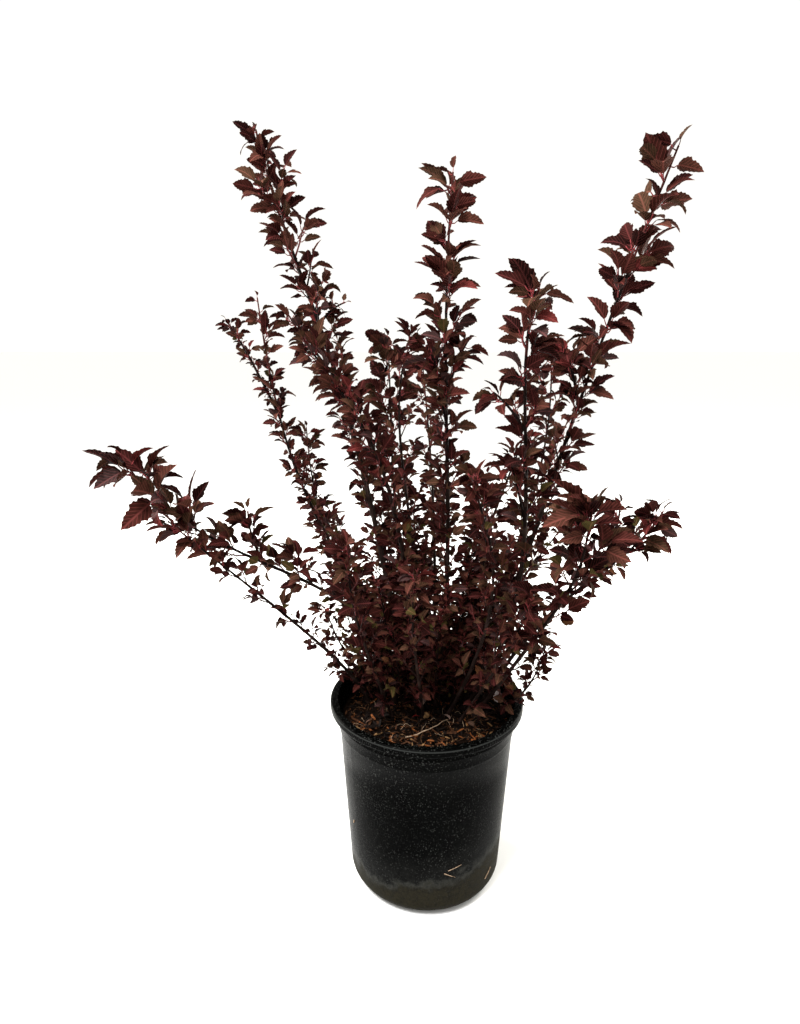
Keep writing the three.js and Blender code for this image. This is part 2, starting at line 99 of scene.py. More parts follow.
# Each fork: the cane that it leaves, how far along that is, and its tip, in millimetres.
FORKS = [
    ("left_slim", 0.8, (-255, 95, 728)),
    ("left_arching", 0.46, (-162, 0, 454)),
    ("left_arching", 0.6, (-212, -30, 510)),
    ("left_tall", 0.42, (-158, 60, 708)),
    ("left_tall", 0.54, (-102, 75, 748)),
    ("centre_tall", 0.58, (2, 5, 690)),
    ("centre_tall", 0.64, (46, 30, 702)),
    ("right_mid", 0.46, (82, -75, 582)),
    ("right_mid", 0.66, (60, -100, 652)),
    ("right_tall", 0.7, (145, -15, 700)),
    ("right_low", 0.6, (205, -80, 530)),
]

# A cane flares at its foot, tapers to its tip, and is bare up to where its leaves begin. The real canes
# are slimmer than the solids that stand for them.
SLIMNESS = 0.72
FLARE = 0.5
FLARE_HEIGHT = 0.009
TAPER = 0.68
BARE_SHARE = 0.2

# A fork's radius and taper, and its side twigs and leaves as shares of its cane's.
FORK_RADIUS = 0.0017
FORK_TAPER = 0.45
FORK_SPREAD = 0.4
FORK_LEAF_SHARE = 0.80

# The growth along a shoot, from its tip down: a node each step, with a leaf and a side twig in its fork.
# Steps are in leaf lengths and leans in degrees.
FIRST_STEP = 0.020
NODE_STEP = 0.42
STEP_JITTER = 0.35
STEP_AT_FOOT = 0.62
STEM_LEAVES_FROM = 0.7
TURN_JITTER = 50
STEM_LEAF_LEAN = (32, 72)
BLADE_RISE = 0.88
BLADE_NOD = (-0.24, 0.36)
LEAF_ROLL = (10, 72)
TWIG_LEAN = 46
TWIG_RISE = 0.35
TWIG_BOW = 0.3
SHORTEST_TWIG = 0.006
TWIG_BARE = 0.35
TWIG_LEAST = 0.08
TWIG_MOST = 1.05
TWIG_LEAVES = 3
TWIG_LEAF_STEP = 0.0065
TWIG_LEAF_LEAN = (28, 62)
END_LEAF_LEAN = 16
TIP_LEAVES = 4
TIP_STEP = 0.0085
TIP_LEAF_LEAN = 66
TIP_LEAF_LEAST = 0.6
TIP_LEAF_GAIN = 0.14
YOUNG_LEAF = 0.38
YOUNG_ROLL = 20

# A twig's radius and what each metre of its length adds, up to a limit and to a share of its stem's.
TWIG_RADIUS = 0.0006
TWIG_GAIN = 0.02
TWIG_THICKEST = 0.0013
TWIG_OF_STEM = 0.7

# Below a tip, twigs reach their full length over this way, and leaves lose their extra size over that.
TWIG_ONSET = 0.05
TIP_REACH = 0.075

# The bare foot of a cane has short twigs with small leaves, down to here.
LOW_TWIGS_FROM = 0.035
LOW_SPREAD = 0.026
LOW_LEAF = 0.022
LOW_STEP = 0.0175

# Young wood is brown below this height, and so is this share of it above.
RED_WOOD_FROM = 0.36
BROWN_TWIGS = 0.4

# A leaf's stalk as a share of its whole length, and its size at a shoot's foot and gained to its tip.
STALK_SHARE = 0.24
SIZE_AT_FOOT = 0.54
SIZE_GAINED = 0.25

# What is special about a cane's growth: the size of its leaves, their gain in size near the tip, how far
# apart the nodes are, and how much of its usual growth there is low down.
HABITS = {
    "left_arching": (1.15, 0.16, 1.05, 0.35),
    "left_low": (1.15, 0.06, 1.3, 0.5),
    "left_slim": (1.0, 0.06, 1.05, 0.8),
    "left_slim_inner": (1.0, 0.0, 0.95, 1.1),
    "left_tall": (1.3, -0.26, 1.3, 0.85),
    "left_inner": (1.15, 0.0, 0.9, 1.25),
    "left_sprig": (1.05, 0.0, 1.0, 0.9),
    "centre_left": (1.02, 0.12, 1.0, 1.1),
    "centre_inner": (0.72, 0.0, 1.3, 1.1),
    "centre_tall": (1.1, 0.14, 0.88, 0.65),
    "mid_right": (0.85, 0.1, 1.05, 0.9),
    "right_inner": (0.72, 0.1, 1.2, 0.9),
    "right_mid": (0.9, 0.22, 1.12, 0.82),
    "right_tall": (0.92, 0.42, 0.72, 0.4),
    "right_front": (0.92, 0.18, 0.9, 1.2),
    "right_low": (0.92, 0.20, 0.95, 0.45),
    "rim_sprig": (1.0, 0.1, 1.0, 0.9),
    "front_centre": (0.68, 0.15, 0.95, 1.1),
    "front_left": (0.9, 0.10, 0.95, 1.0),
    "front_low": (0.75, 0.10, 0.9, 1.1),
    "front_right": (0.72, 0.10, 0.9, 1.1),
    "back_left": (0.85, 0.0, 1.1, 1.0),
    "back_centre": (0.85, 0.0, 1.15, 1.1),
    "back_right": (0.85, 0.0, 1.15, 1.1),
    "back_low_left": (0.8, 0.10, 1.2, 0.8),
    "back_low_right": (0.85, 0.10, 1.15, 0.9),
    "back_arching": (0.9, 0.10, 1.0, 0.9),
}

# From this share of a shoot's way up, its growth is full.
FULL_FROM = 0.75

# The colours of leaves: plain base colours that are dealt out leaf by leaf.
LEAF_TINTS = {
    "leaf_deep": (0.0085, 0.0026, 0.0021),
    "leaf_wine": (0.0185, 0.0046, 0.0038),
    "leaf_maroon": (0.031, 0.0085, 0.0063),
    "leaf_russet": (0.043, 0.0160, 0.0105),
    "leaf_bronze": (0.036, 0.0190, 0.0105),
    "leaf_slate": (0.028, 0.0160, 0.0150),
    "leaf_olive": (0.032, 0.0270, 0.0080),
    "leaf_rust": (0.055, 0.0240, 0.0100),
    "leaf_young": (0.060, 0.0115, 0.0100),
}

# How often each of those shows: on the upper shoots, on the lower ones, and at the very tips. Where
# they start is a share of a shoot's way or a height, and a twig's leaves count as lower by a share.
UPPER_MIX = [0.13, 0.19, 0.20, 0.20, 0.17, 0.07, 0.01, 0.00, 0.03]
LOWER_MIX = [0.28, 0.19, 0.13, 0.10, 0.18, 0.05, 0.06, 0.01, 0.00]
TIP_MIX = [0.07, 0.16, 0.23, 0.24, 0.17, 0.03, 0.00, 0.00, 0.10]
TIP_MIX_FROM = 0.9
UPPER_MIX_FROM = 0.6
UPPER_MIX_ABOVE = 0.52
TWIG_MIX_SHARE = 0.85


def noise(a, b, c):
    """Repeatable noise from 0 to 1, from three numbers."""
    wave = math.sin(a * 12.9898 + b * 78.233 + c * 37.719) * 43758.5453
    return wave - math.floor(wave)


def between(low, high, *seeds):
    """A repeatable value from low to high."""
    return low + (high - low) * noise(*seeds)


def pick(mix, *seeds):
    """The place in a mix of shares that repeatable noise falls on."""
    rest = noise(*seeds) * sum(mix)
    for place, share in enumerate(mix):
        rest -= share
        if rest < 0:
            return place
    return 0


def lean(axis, towards, degrees):
    """A unit direction turned from one axis towards another."""
    angle = math.radians(degrees)
    return (axis * math.cos(angle) + towards * math.sin(angle)).normalized()


class Batch:
    """Triangles gathered from many small shapes, each kind of thing to be one mesh."""

    def __init__(self):
        self.points, self.faces, self.tints, self.maps = [], [], [], []
        self.count = 0

    def add(self, points, faces, tint=0, maps=None):
        self.points.append(points)
        self.faces.append(faces + self.count)
        self.tints.append(np.broadcast_to(tint, len(faces)))
        self.maps.append(np.zeros((len(points), 2)) if maps is None else maps)
        self.count += len(points)

    def make(self, name, materials, smooth=True):
        """The mesh object, with a material for each tint."""
        points = np.concatenate(self.points).astype(np.float32)
        faces = np.concatenate(self.faces).astype(np.int32)
        maps = np.concatenate(self.maps).astype(np.float32)
        mesh = bpy.data.meshes.new(name)
        mesh.vertices.add(len(points))
        mesh.vertices.foreach_set("co", points.ravel())
        mesh.loops.add(faces.size)
        mesh.loops.foreach_set("vertex_index", faces.ravel())
        mesh.polygons.add(len(faces))
        mesh.polygons.foreach_set("loop_start", np.arange(0, faces.size, 3, dtype=np.int32))
        mesh.polygons.foreach_set("material_index", np.concatenate(self.tints).astype(np.int32))
        mesh.polygons.foreach_set("use_smooth", np.full(len(faces), smooth))
        mesh.update(calc_edges=True)
        mesh.uv_layers.new(name="UVMap").data.foreach_set("uv", maps[faces.ravel()].ravel())
        for material in materials:
            mesh.materials.append(material)
        piece = bpy.data.objects.new(name, mesh)
        bpy.context.scene.collection.objects.link(piece)
        return piece


# A cane's foot stands this high over the soil's flat top, and curves are measured over these steps.
SEAT_GAP = 0.3 * MM
NUDGE = 0.0001
LENGTH_STEPS = 60


class CaneCurve:
    """The curve of a cane through its foot, its two waist points and its tip."""

    def __init__(self, foot, *points):
        start = (foot[0] * MM, foot[1] * MM, SOIL_TOP + SEAT_GAP)
        self.points = [Vector(start)] + [Vector(point) * MM for point in points]

    def point(self, t):
        weights = (
            -4.5 * (t - 1 / 3) * (t - 2 / 3) * (t - 1),
            13.5 * t * (t - 2 / 3) * (t - 1),
            -13.5 * t * (t - 1 / 3) * (t - 1),
            4.5 * t * (t - 1 / 3) * (t - 2 / 3),
        )
        return sum((point * weight for point, weight in zip(self.points, weights)), Vector())


class ForkCurve:
    """The curve of a fork: it leaves along its cane and bows up to its tip."""

    BOW = 0.16

    def __init__(self, start, along, tip):
        reach = (tip - start).length
        self.start, self.tip = start, tip
        self.middle = start.lerp(tip, 0.5) + along * reach * self.BOW

    def point(self, t):
        return self.start.lerp(self.middle, t).lerp(self.middle.lerp(self.tip, t), t)


def frame_at(curve, t):
    """The point on a curve, its direction there and two directions square to that."""
    before, after = max(t - NUDGE, 0), min(t + NUDGE, 1)
    along = (curve.point(after) - curve.point(before)).normalized()
    across = along.cross(SIDE_REFERENCE).normalized()
    return curve.point(t), along, across, across.cross(along).normalized()


def length_of(curve):
    points = [curve.point(i / LENGTH_STEPS) for i in range(LENGTH_STEPS + 1)]
    return sum((b - a).length for a, b in zip(points, points[1:]))


class Shoot:
    """A stem with leaves: a cane's upper part, one of its forks, or a sprout."""

    def __init__(self, curve, start, foot_radius, spread, leaf_length, seed, habit):
        self.curve, self.start, self.foot_radius = curve, start, foot_radius
        self.spread, self.seed, self.length = spread, seed, length_of(curve)
        size, self.tip_gain, spacing, self.low_growth = habit
        self.leaf_length = leaf_length * size
        self.node_step = NODE_STEP * spacing * leaf_length

    def radius(self, t):
        if self.start == 0:
            return self.foot_radius * (1 - FORK_TAPER * t)
        rise = (self.curve.point(t).z - SOIL_TOP) / FLARE_HEIGHT
        return self.foot_radius * SLIMNESS * (1 - TAPER * t + FLARE * math.exp(-rise * rise))

    def share(self, t):
        """The share of its leafy way that lies below a place."""
        return (t - self.start) / (1 - self.start)


def shoots_of(name, seed):
    """Every shoot of a cane: its own stem first, then its forks."""
    foot_radius, spread, leaf_length, foot, *points = CANES[name]
    curve, spread, leaf_length = CaneCurve(foot, *points), spread * MM, leaf_length * MM
    habit = HABITS[name]
    shoots = [Shoot(curve, BARE_SHARE, foot_radius * MM, spread, leaf_length, seed, habit)]
    fork_sizes = (FORK_RADIUS, spread * FORK_SPREAD, leaf_length * FORK_LEAF_SHARE)
    for parent, at, tip in FORKS:
        if parent == name:
            point, along, _, _ = frame_at(curve, at)
            fork = ForkCurve(point, along, Vector(tip) * MM)
            shoots.append(Shoot(fork, 0, *fork_sizes, seed + 100 * len(shoots), habit))
    return shoots


# Thin sprouts stand among the canes' feet and hide them, in an oval with these half axes and this middle.
# Their sizes are a radius, the longest side twig and a leaf's length.
SPROUTS = 54
SPROUT_SIZES = (0.0012, 0.018, 0.025)
SPROUT_FIELD = (0.080, 0.044)
SPROUT_MIDDLE = 0.042
SPROUT_SINK = 0.002
SPROUT_LOW, SPROUT_HIGH = 0.05, 0.33
SPROUT_HABIT = (1.0, 0.1, 1.35, 1.0)

# A sprout as high as the last value leans out by these shares of its place in the oval.
SPROUT_LEAN = (0.5, 0.8)
LEAN_HEIGHT = 0.15


def sprouts():
    """Short shoots from the soil, spread over an oval and leaning out of its middle."""
    found = []
    for i in range(SPROUTS):
        reach, turn = math.sqrt((i + 0.5) / SPROUTS), GOLDEN_TURN * i
        x, y = SPROUT_FIELD[0] * reach * math.sin(turn), SPROUT_FIELD[1] * reach * math.cos(turn)
        foot = Vector((x, y + SPROUT_MIDDLE, 0))
        foot.z = float(soil_height(foot.x, foot.y)) - SPROUT_SINK
        rise = SPROUT_LOW + (SPROUT_HIGH - SPROUT_LOW) * noise(i, 1, 6) * (1.1 - 0.5 * reach)
        outward = Vector((SPROUT_LEAN[0] * x, SPROUT_LEAN[1] * y, 0))
        curve = ForkCurve(foot, UP, foot + outward * rise / LEAN_HEIGHT + UP * rise)
        found.append(Shoot(curve, 0, *SPROUT_SIZES, 500 + i, SPROUT_HABIT))
    return found


def around(sides):
    """The angles of a ring's points."""
    return np.arange(sides) * (2 * math.pi / sides)


def ring_faces(rings, sides):
    """The triangles between neighbouring rings of a tube."""
    ring, side = np.meshgrid(np.arange(rings - 1), np.arange(sides), indexing="ij")
    a = (ring * sides + side).ravel()
    b = (ring * sides + (side + 1) % sides).ravel()
    return np.concatenate([np.stack([a, b, b + sides], 1), np.stack([a, b + sides, a + sides], 1)])


def fan(first, sides, hub):
    """The triangles between one ring and a hub."""
    side = np.arange(sides)
    return np.stack([first + side, first + (side + 1) % sides, np.full(sides, hub)], 1)


# The order of corners that turns triangles over.
FLIPPED = [1, 0, 2]


def tube(batch, places, radii, sides, tint=0):
    """A tube with a closed end, through places: each a point and two directions square to the way there."""
    angles = around(sides)
    cosines, sines = np.cos(angles)[:, None], np.sin(angles)[:, None]
    rings = []
    for (point, across, over), radius in zip(places, radii):
        radius = np.broadcast_to(np.asarray(radius, float).reshape(-1, 1), (sides, 1))
        rings.append(np.array(point) + radius * (cosines * np.array(across) + sines * np.array(over)))
    hub = len(rings) * sides
    points = np.concatenate([*rings, [np.array(places[-1][0])]])
    faces = np.concatenate([ring_faces(len(rings), sides), fan(hub - sides, sides, hub)])
    turns = np.tile(angles / (2 * math.pi), len(rings))
    ways = np.repeat(np.linspace(0, 1, len(rings)), sides)
    batch.add(points, faces, tint, np.concatenate([np.stack([turns, ways], 1), [[0.5, 1.0]]]))


def rod(batch, points, radii, sides, tint=0):
    """A tube through a few points."""
    places = []
    for i, point in enumerate(points):
        along = (points[min(i + 1, len(points) - 1)] - points[max(i - 1, 0)]).normalized()
        reference = UP if abs(along.z) < 0.9 else SIDE_REFERENCE
        across = along.cross(reference).normalized()
        places.append((point, across, across.cross(along)))
    tube(batch, places, radii, sides, tint)


class LeafShape:
    """A leaf's blade, one unit long from its foot at the origin to its tip on +Y, flat in XY."""

    MIDRIB = (0, 0.22, 0.45, 0.7, 1)
    VEIN_DEPTH = 0.022
    WAVES = 9

    def __init__(self, edge, veins):
        foot, *middle, tip = [(0, y) for y in self.MIDRIB]
        left = [(-x, y) for x, y in reversed(edge)]
        inner = veins + [(-x, y) for x, y in veins]
        outline = [foot, *edge, tip, *left]
        count = len(outline)
        rim = [(i, (i + 1) % count) for i in range(count)]
        rib = [0, *range(count, count + len(middle)), len(edge) + 1]
        flat = [Vector(p) for p in [*outline, *middle, *inner]]
        points, _, faces, *_ = delaunay_2d_cdt(flat, rim + list(zip(rib, rib[1:])), [], 1, 1e-6)
        self.flat = np.array([tuple(p) for p in points])
        self.faces = np.array(faces)
        self.maps = np.stack([self.flat[:, 0] + 0.5, self.flat[:, 1]], 1)
        on_vein = [any(abs(x - u) + abs(y - v) < 1e-5 for u, v in inner) for x, y in self.flat]
        self.on_vein = np.array(on_vein, float)

    def bent(self, arch, fold, ripple, phase):
        """The blade's points folded along its midrib, rippled, and arched down to its tip."""
        x, y = self.flat[:, 0], self.flat[:, 1]
        reach = np.abs(x)
        z = reach * math.tan(fold) - 0.5 * fold * reach * reach
        wave = np.sin(self.WAVES * y + phase + np.sign(x))
        z = z + ripple * reach * wave - self.VEIN_DEPTH * self.on_vein
        angle = arch * y
        along = np.sin(angle) / arch + z * np.sin(angle)
        lift = -(1 - np.cos(angle)) / arch + z * np.cos(angle)
        return np.stack([x * math.cos(fold), along, lift], 1)


# The right edge of a leaf from its foot up: a toothed side lobe, a shallow bay above it and the toothed
# middle lobe, which narrows to a sharp tip.
LARGE_LEAF = LeafShape(
    edge=[(0.09, 0.03), (0.17, 0.10), (0.24, 0.16), (0.26, 0.24), (0.32, 0.29), (0.30, 0.36), (0.33, 0.43),
          (0.25, 0.47), (0.22, 0.52), (0.25, 0.59), (0.20, 0.64), (0.20, 0.72), (0.145, 0.77), (0.125, 0.85),
          (0.06, 0.91)],
    veins=[(0.16, 0.28), (0.12, 0.55)],
)
SMALL_LEAF = LeafShape(
    edge=[(0.12, 0.05), (0.28, 0.20), (0.36, 0.42), (0.25, 0.51), (0.27, 0.66), (0.14, 0.85)],
    veins=[],
)
SMALL_LEAF_LENGTH = 0.016

# From least to most: a blade's arch, its fold in degrees and the depth of its ripple.
ARCH = (0.3, 1.3)
FOLD = (8, 36)
RIPPLE = (0.02, 0.10)

# How far a stalk turns up, its sag as a share of its leaf's length, and its radius and how that grows.
STALK_RISE = 0.12
STALK_SAG = 0.04
STALK_RADIUS = 0.00045
STALK_GAIN = 0.011

# A blade keeps clear of the pot: so far over and beside its rim, inside it, and over the soil.
CLEAR_ABOVE, CLEAR_BESIDE, CLEAR_INSIDE, CLEAR_SOIL = 0.002, 0.02, 0.025, 0.004


def meets_pot(foot, tip):
    """Whether a blade would touch the pot's rim or the soil."""
    reach = tip.xy.length
    near = min(foot.z, tip.z) < POT_HEIGHT + CLEAR_ABOVE and reach < RIM_RADIUS + CLEAR_BESIDE
    return near and (tip.z < SOIL_TOP + CLEAR_SOIL or reach > RIM_RADIUS - CLEAR_INSIDE)


class Foliage:
    """The leaves, their stalks and the twigs of some shoots, gathered as they grow."""

    def __init__(self, stalks, twigs):
        self.leaves, self.stalks, self.twigs = Batch(), stalks, twigs

    def blade(self, foot, direction, normal, length, tint, seed, step):
        """One blade from its foot, with its own arch, fold and ripple."""
        shape = LARGE_LEAF if length > SMALL_LEAF_LENGTH else SMALL_LEAF
        arch, ripple = between(*ARCH, seed, step, 11), between(*RIPPLE, seed, step, 13)
        fold = math.radians(between(*FOLD, seed, step, 12))
        bent = shape.bent(arch, fold, ripple, 6 * noise(seed, step, 14))
        across = direction.cross(normal).normalized()
        turn = np.array([across, direction, across.cross(direction)])
        self.leaves.add(bent * length @ turn + np.array(foot), shape.faces, tint, shape.maps)

    def leaf(self, root, set_out, roll, length, mix, seed, step):
        """A leaf on its stalk. Its blade lies flatter than the way that it sets out."""
        blade_length = length * (1 - STALK_SHARE)
        foot = root + (set_out + UP * STALK_RISE).normalized() * length * STALK_SHARE
        rise = set_out.z * BLADE_RISE + between(*BLADE_NOD, seed, step, 17)
        direction = Vector((set_out.x, set_out.y, rise)).normalized()
        if meets_pot(foot, foot + direction * blade_length):
            return
        middle = root.lerp(foot, 0.55) - UP * STALK_SAG * length
        width = STALK_RADIUS + STALK_GAIN * length
        rod(self.stalks, [root, middle, foot], [width, width * 0.8, width * 0.7], 3, int(mix is LOWER_MIX))
        normal = facing(direction, roll)
        self.blade(foot, direction, normal, blade_length, pick(mix, seed, step, 15), seed, step)


def facing(direction, roll):
    """The way a leaf's face looks: mostly up, rolled a little to one side."""
    across = direction.cross(UP).normalized()
    return lean(across.cross(direction).normalized(), across, roll)


def node_at(shoot, t, step):
    """The point of a node, the stem's direction there and the way out to its leaf."""
    point, along, across, over = frame_at(shoot.curve, t)
    jitter = math.radians(TURN_JITTER) * (noise(shoot.seed, step, 1) - 0.5)
    return point, along, lean(across, over, math.degrees(GOLDEN_TURN * step + jitter))


def roll_of(seed, step):
    """How far a leaf is rolled to one side or, on every other step, to the other."""
    roll = between(*LEAF_ROLL, seed, step, 4)
    return roll if step % 2 == 0 else -roll


def mix_at(share, height):
    """The mix of leaf colours at a share of a shoot's way and at a height."""
    if share > TIP_MIX_FROM:
        return TIP_MIX
    return UPPER_MIX if height > UPPER_MIX_ABOVE or share > UPPER_MIX_FROM else LOWER_MIX


def fullness(shoot, share):
    """How full the growth is at a share of a shoot's leafy way: less low down on some."""
    return shoot.low_growth + (1 - shoot.low_growth) * min(1, share / FULL_FROM)


def leaf_size(shoot, t):
    """The usual length of a leaf on a shoot: largest at the tip and small low down."""
    share = shoot.share(t)
    tip_gain = shoot.tip_gain * math.exp(-(1 - t) * shoot.length / TIP_REACH)
    usual = SIZE_AT_FOOT + SIZE_GAINED * share + tip_gain
    return shoot.leaf_length * usual * math.sqrt(fullness(shoot, share))


def grow_stem_leaf(foliage, shoot, t, step):
    """One leaf straight on the stem."""
    point, along, out = node_at(shoot, t, step)
    way = lean(along, out, between(*STEM_LEAF_LEAN, shoot.seed, step, 19))
    size = leaf_size(shoot, t) * between(0.9, 1.25, shoot.seed, step, 3)
    mix = mix_at(shoot.share(t), point.z)
    foliage.leaf(point, way, roll_of(shoot.seed, step), size, mix, shoot.seed, step)


def grow_twig(foliage, shoot, t, step, length, size):
    """One side twig with leaves at its tip and along both of its sides."""
    seed = shoot.seed
    point, along, out = node_at(shoot, t, step)
    direction = (lean(along, out, TWIG_LEAN) + UP * TWIG_RISE).normalized()
    bow = (direction + UP * TWIG_BOW).normalized()
    middle = point + direction * length * 0.5
    end = middle + bow * length * 0.5
    base = min(TWIG_THICKEST, shoot.radius(t) * TWIG_OF_STEM, TWIG_RADIUS + TWIG_GAIN * length)
    red = noise(step, 7, seed) > BROWN_TWIGS and point.z > RED_WOOD_FROM
    rod(foliage.twigs, [point, middle, end], [base, base * 0.8, base * 0.55], 4, int(red))
    mix = mix_at(shoot.share(t) * TWIG_MIX_SHARE, point.z)
    foliage.leaf(end, lean(bow, out, END_LEAF_LEAN), roll_of(seed, step), size, mix, seed, step + 400)
    sideways = direction.cross(UP).normalized()
    count = TWIG_LEAVES + int(length / TWIG_LEAF_STEP)
    for i in range(count):
        share = TWIG_BARE + (1 - TWIG_BARE) * (i + 0.5) / count
        root = point.lerp(middle, min(1, share * 2)).lerp(end, max(0, share * 2 - 1))
        turned = Quaternion(direction, GOLDEN_TURN * i + 6 * noise(seed, step, 6)) @ sideways
        way = lean(direction, turned, between(*TWIG_LEAF_LEAN, seed, step, 60 + i))
        small = size * (0.62 + 0.38 * share) * between(0.8, 1.2, seed, step, 70 + i)
        foliage.leaf(root, way, roll_of(seed + i, step + i), small, mix, seed + 3 * i, step + 80)


def grow_node(foliage, shoot, t, step):
    """What grows at one node: a leaf, where the stem is young, and the side twig in its fork."""
    share = shoot.share(t)
    if share > STEM_LEAVES_FROM:
        grow_stem_leaf(foliage, shoot, t, step)
    onset = 1 - math.exp(-(((1 - t) * shoot.length / TWIG_ONSET) ** 2))
    reach = shoot.spread * onset * (0.55 + 0.45 * (1 - share)) * fullness(shoot, share)
    length = SHORTEST_TWIG + reach * between(TWIG_LEAST, TWIG_MOST, shoot.seed, step, 2)
    grow_twig(foliage, shoot, t, step, length, leaf_size(shoot, t) * between(0.8, 1.1, shoot.seed, step, 16))


def grow_low_twig(foliage, shoot, t, step):
    """A short twig with small leaves on the lowest part of a cane."""
    length = SHORTEST_TWIG + LOW_SPREAD * between(0.2, 1, shoot.seed, step, 2)
    grow_twig(foliage, shoot, t, step, length, LOW_LEAF * between(0.75, 1.15, shoot.seed, step, 16))


def grow_tip(foliage, shoot):
    """The leaves at a shoot's tip: a small young one straight on and larger ones spread below it."""
    point, along, across, over = frame_at(shoot.curve, 1)
    usual = leaf_size(shoot, 1)
    foliage.leaf(point, along, YOUNG_ROLL, usual * YOUNG_LEAF, TIP_MIX, shoot.seed, 900)
    for i in range(TIP_LEAVES):
        root = frame_at(shoot.curve, 1 - TIP_STEP * (i + 0.3) / shoot.length)[0]
        turn = 137.5 * i + TURN_JITTER * noise(shoot.seed, i, 5)
        way = lean(along, lean(across, over, turn), TIP_LEAF_LEAN + 5 * i)
        size = usual * (TIP_LEAF_LEAST + TIP_LEAF_GAIN * i) * between(0.88, 1.1, shoot.seed, i, 8)
        foliage.leaf(root, way, roll_of(shoot.seed, i), size, TIP_MIX, shoot.seed, 910 + i)


def growth_places(shoot):
    """The places down one shoot where something grows, and what, from its tip."""
    below, places = FIRST_STEP, []
    while below < shoot.length * (1 - LOW_TWIGS_FROM):
        t = 1 - below / shoot.length
        places.append((t, grow_node if t > shoot.start else grow_low_twig))
        closer = STEP_AT_FOOT + (1 - STEP_AT_FOOT) * t
        step = shoot.node_step * closer if t > shoot.start else min(shoot.node_step, LOW_STEP)
        below += step * (1 + STEP_JITTER * (noise(shoot.seed, len(places), 18) - 0.5))
    return places


def grow(foliage, shoot):
    grow_tip(foliage, shoot)
    for step, (t, kind) in enumerate(growth_places(shoot)):
        kind(foliage, shoot, t, step)


# The stems: their bark has ridges, a swelling at each node, and its colour changes with its age.
BARK_SIDES = 10
BARK_RING = 0.005
RIDGE_DEPTH = 0.07
NODE_SWELLING = 0.2
NODE_REACH = 0.0022
OLD_BARK_TO = 0.5
YOUNG_BARK_FROM = 0.86
AGE_JITTER = 0.12

# A stem starts this far under the soil's surface, a little wider.
STEM_SINK = 0.004
SINK_WIDTH = 1.1


def bark_radii(shoot, t, nodes):
    """The radii round one ring of a stem, with its ridges and any node's swelling."""
    swelling = sum(math.exp(-(((t - node) * shoot.length / NODE_REACH) ** 2)) for node in nodes)
    angles, phase = around(BARK_SIDES), shoot.seed + 14 * t
    ridges = np.sin(3 * angles + phase) * np.sin(5 * angles - 2 * phase + 40 * t)
    return shoot.radius(t) * (1 + RIDGE_DEPTH * ridges + NODE_SWELLING * min(swelling, 1))


def bark_tint(shoot, t, ring):
    """Which bark a ring has: old at the foot of a cane, then dark, and young near the tip."""
    age = t + AGE_JITTER * (noise(shoot.seed, ring // 5, 9) - 0.5)
    if age < OLD_BARK_TO and shoot.start:
        return 0
    return 1 if age < YOUNG_BARK_FROM else 2


def grow_stem(batch, shoot):
    """The whole stem of a shoot: a cane starts a little under the soil's surface."""
    rings = int(shoot.length / BARK_RING)
    nodes = [t for t, _ in growth_places(shoot)]
    places, radii, tints = [], [], []
    for i in range(rings + 1):
        t = i / rings
        point, _, across, over = frame_at(shoot.curve, t)
        places.append((point, across, over))
        radii.append(bark_radii(shoot, t, nodes))
        tints.append(bark_tint(shoot, t, i))
    if shoot.start:
        point, across, over = places[0]
        places.insert(0, (point - UP * STEM_SINK, across, over))
        radii.insert(0, radii[0] * SINK_WIDTH)
        tints.insert(0, 0)
    ring_tints = np.repeat(np.array(tints[:-1]), BARK_SIDES)
    end_tints = np.full(BARK_SIDES, 2)
    tube(batch, places, radii, BARK_SIDES, np.concatenate([ring_tints, ring_tints, end_tints]))


def tinted(colour, factor):
    return tuple(min(1.0, channel * factor) for channel in colour)


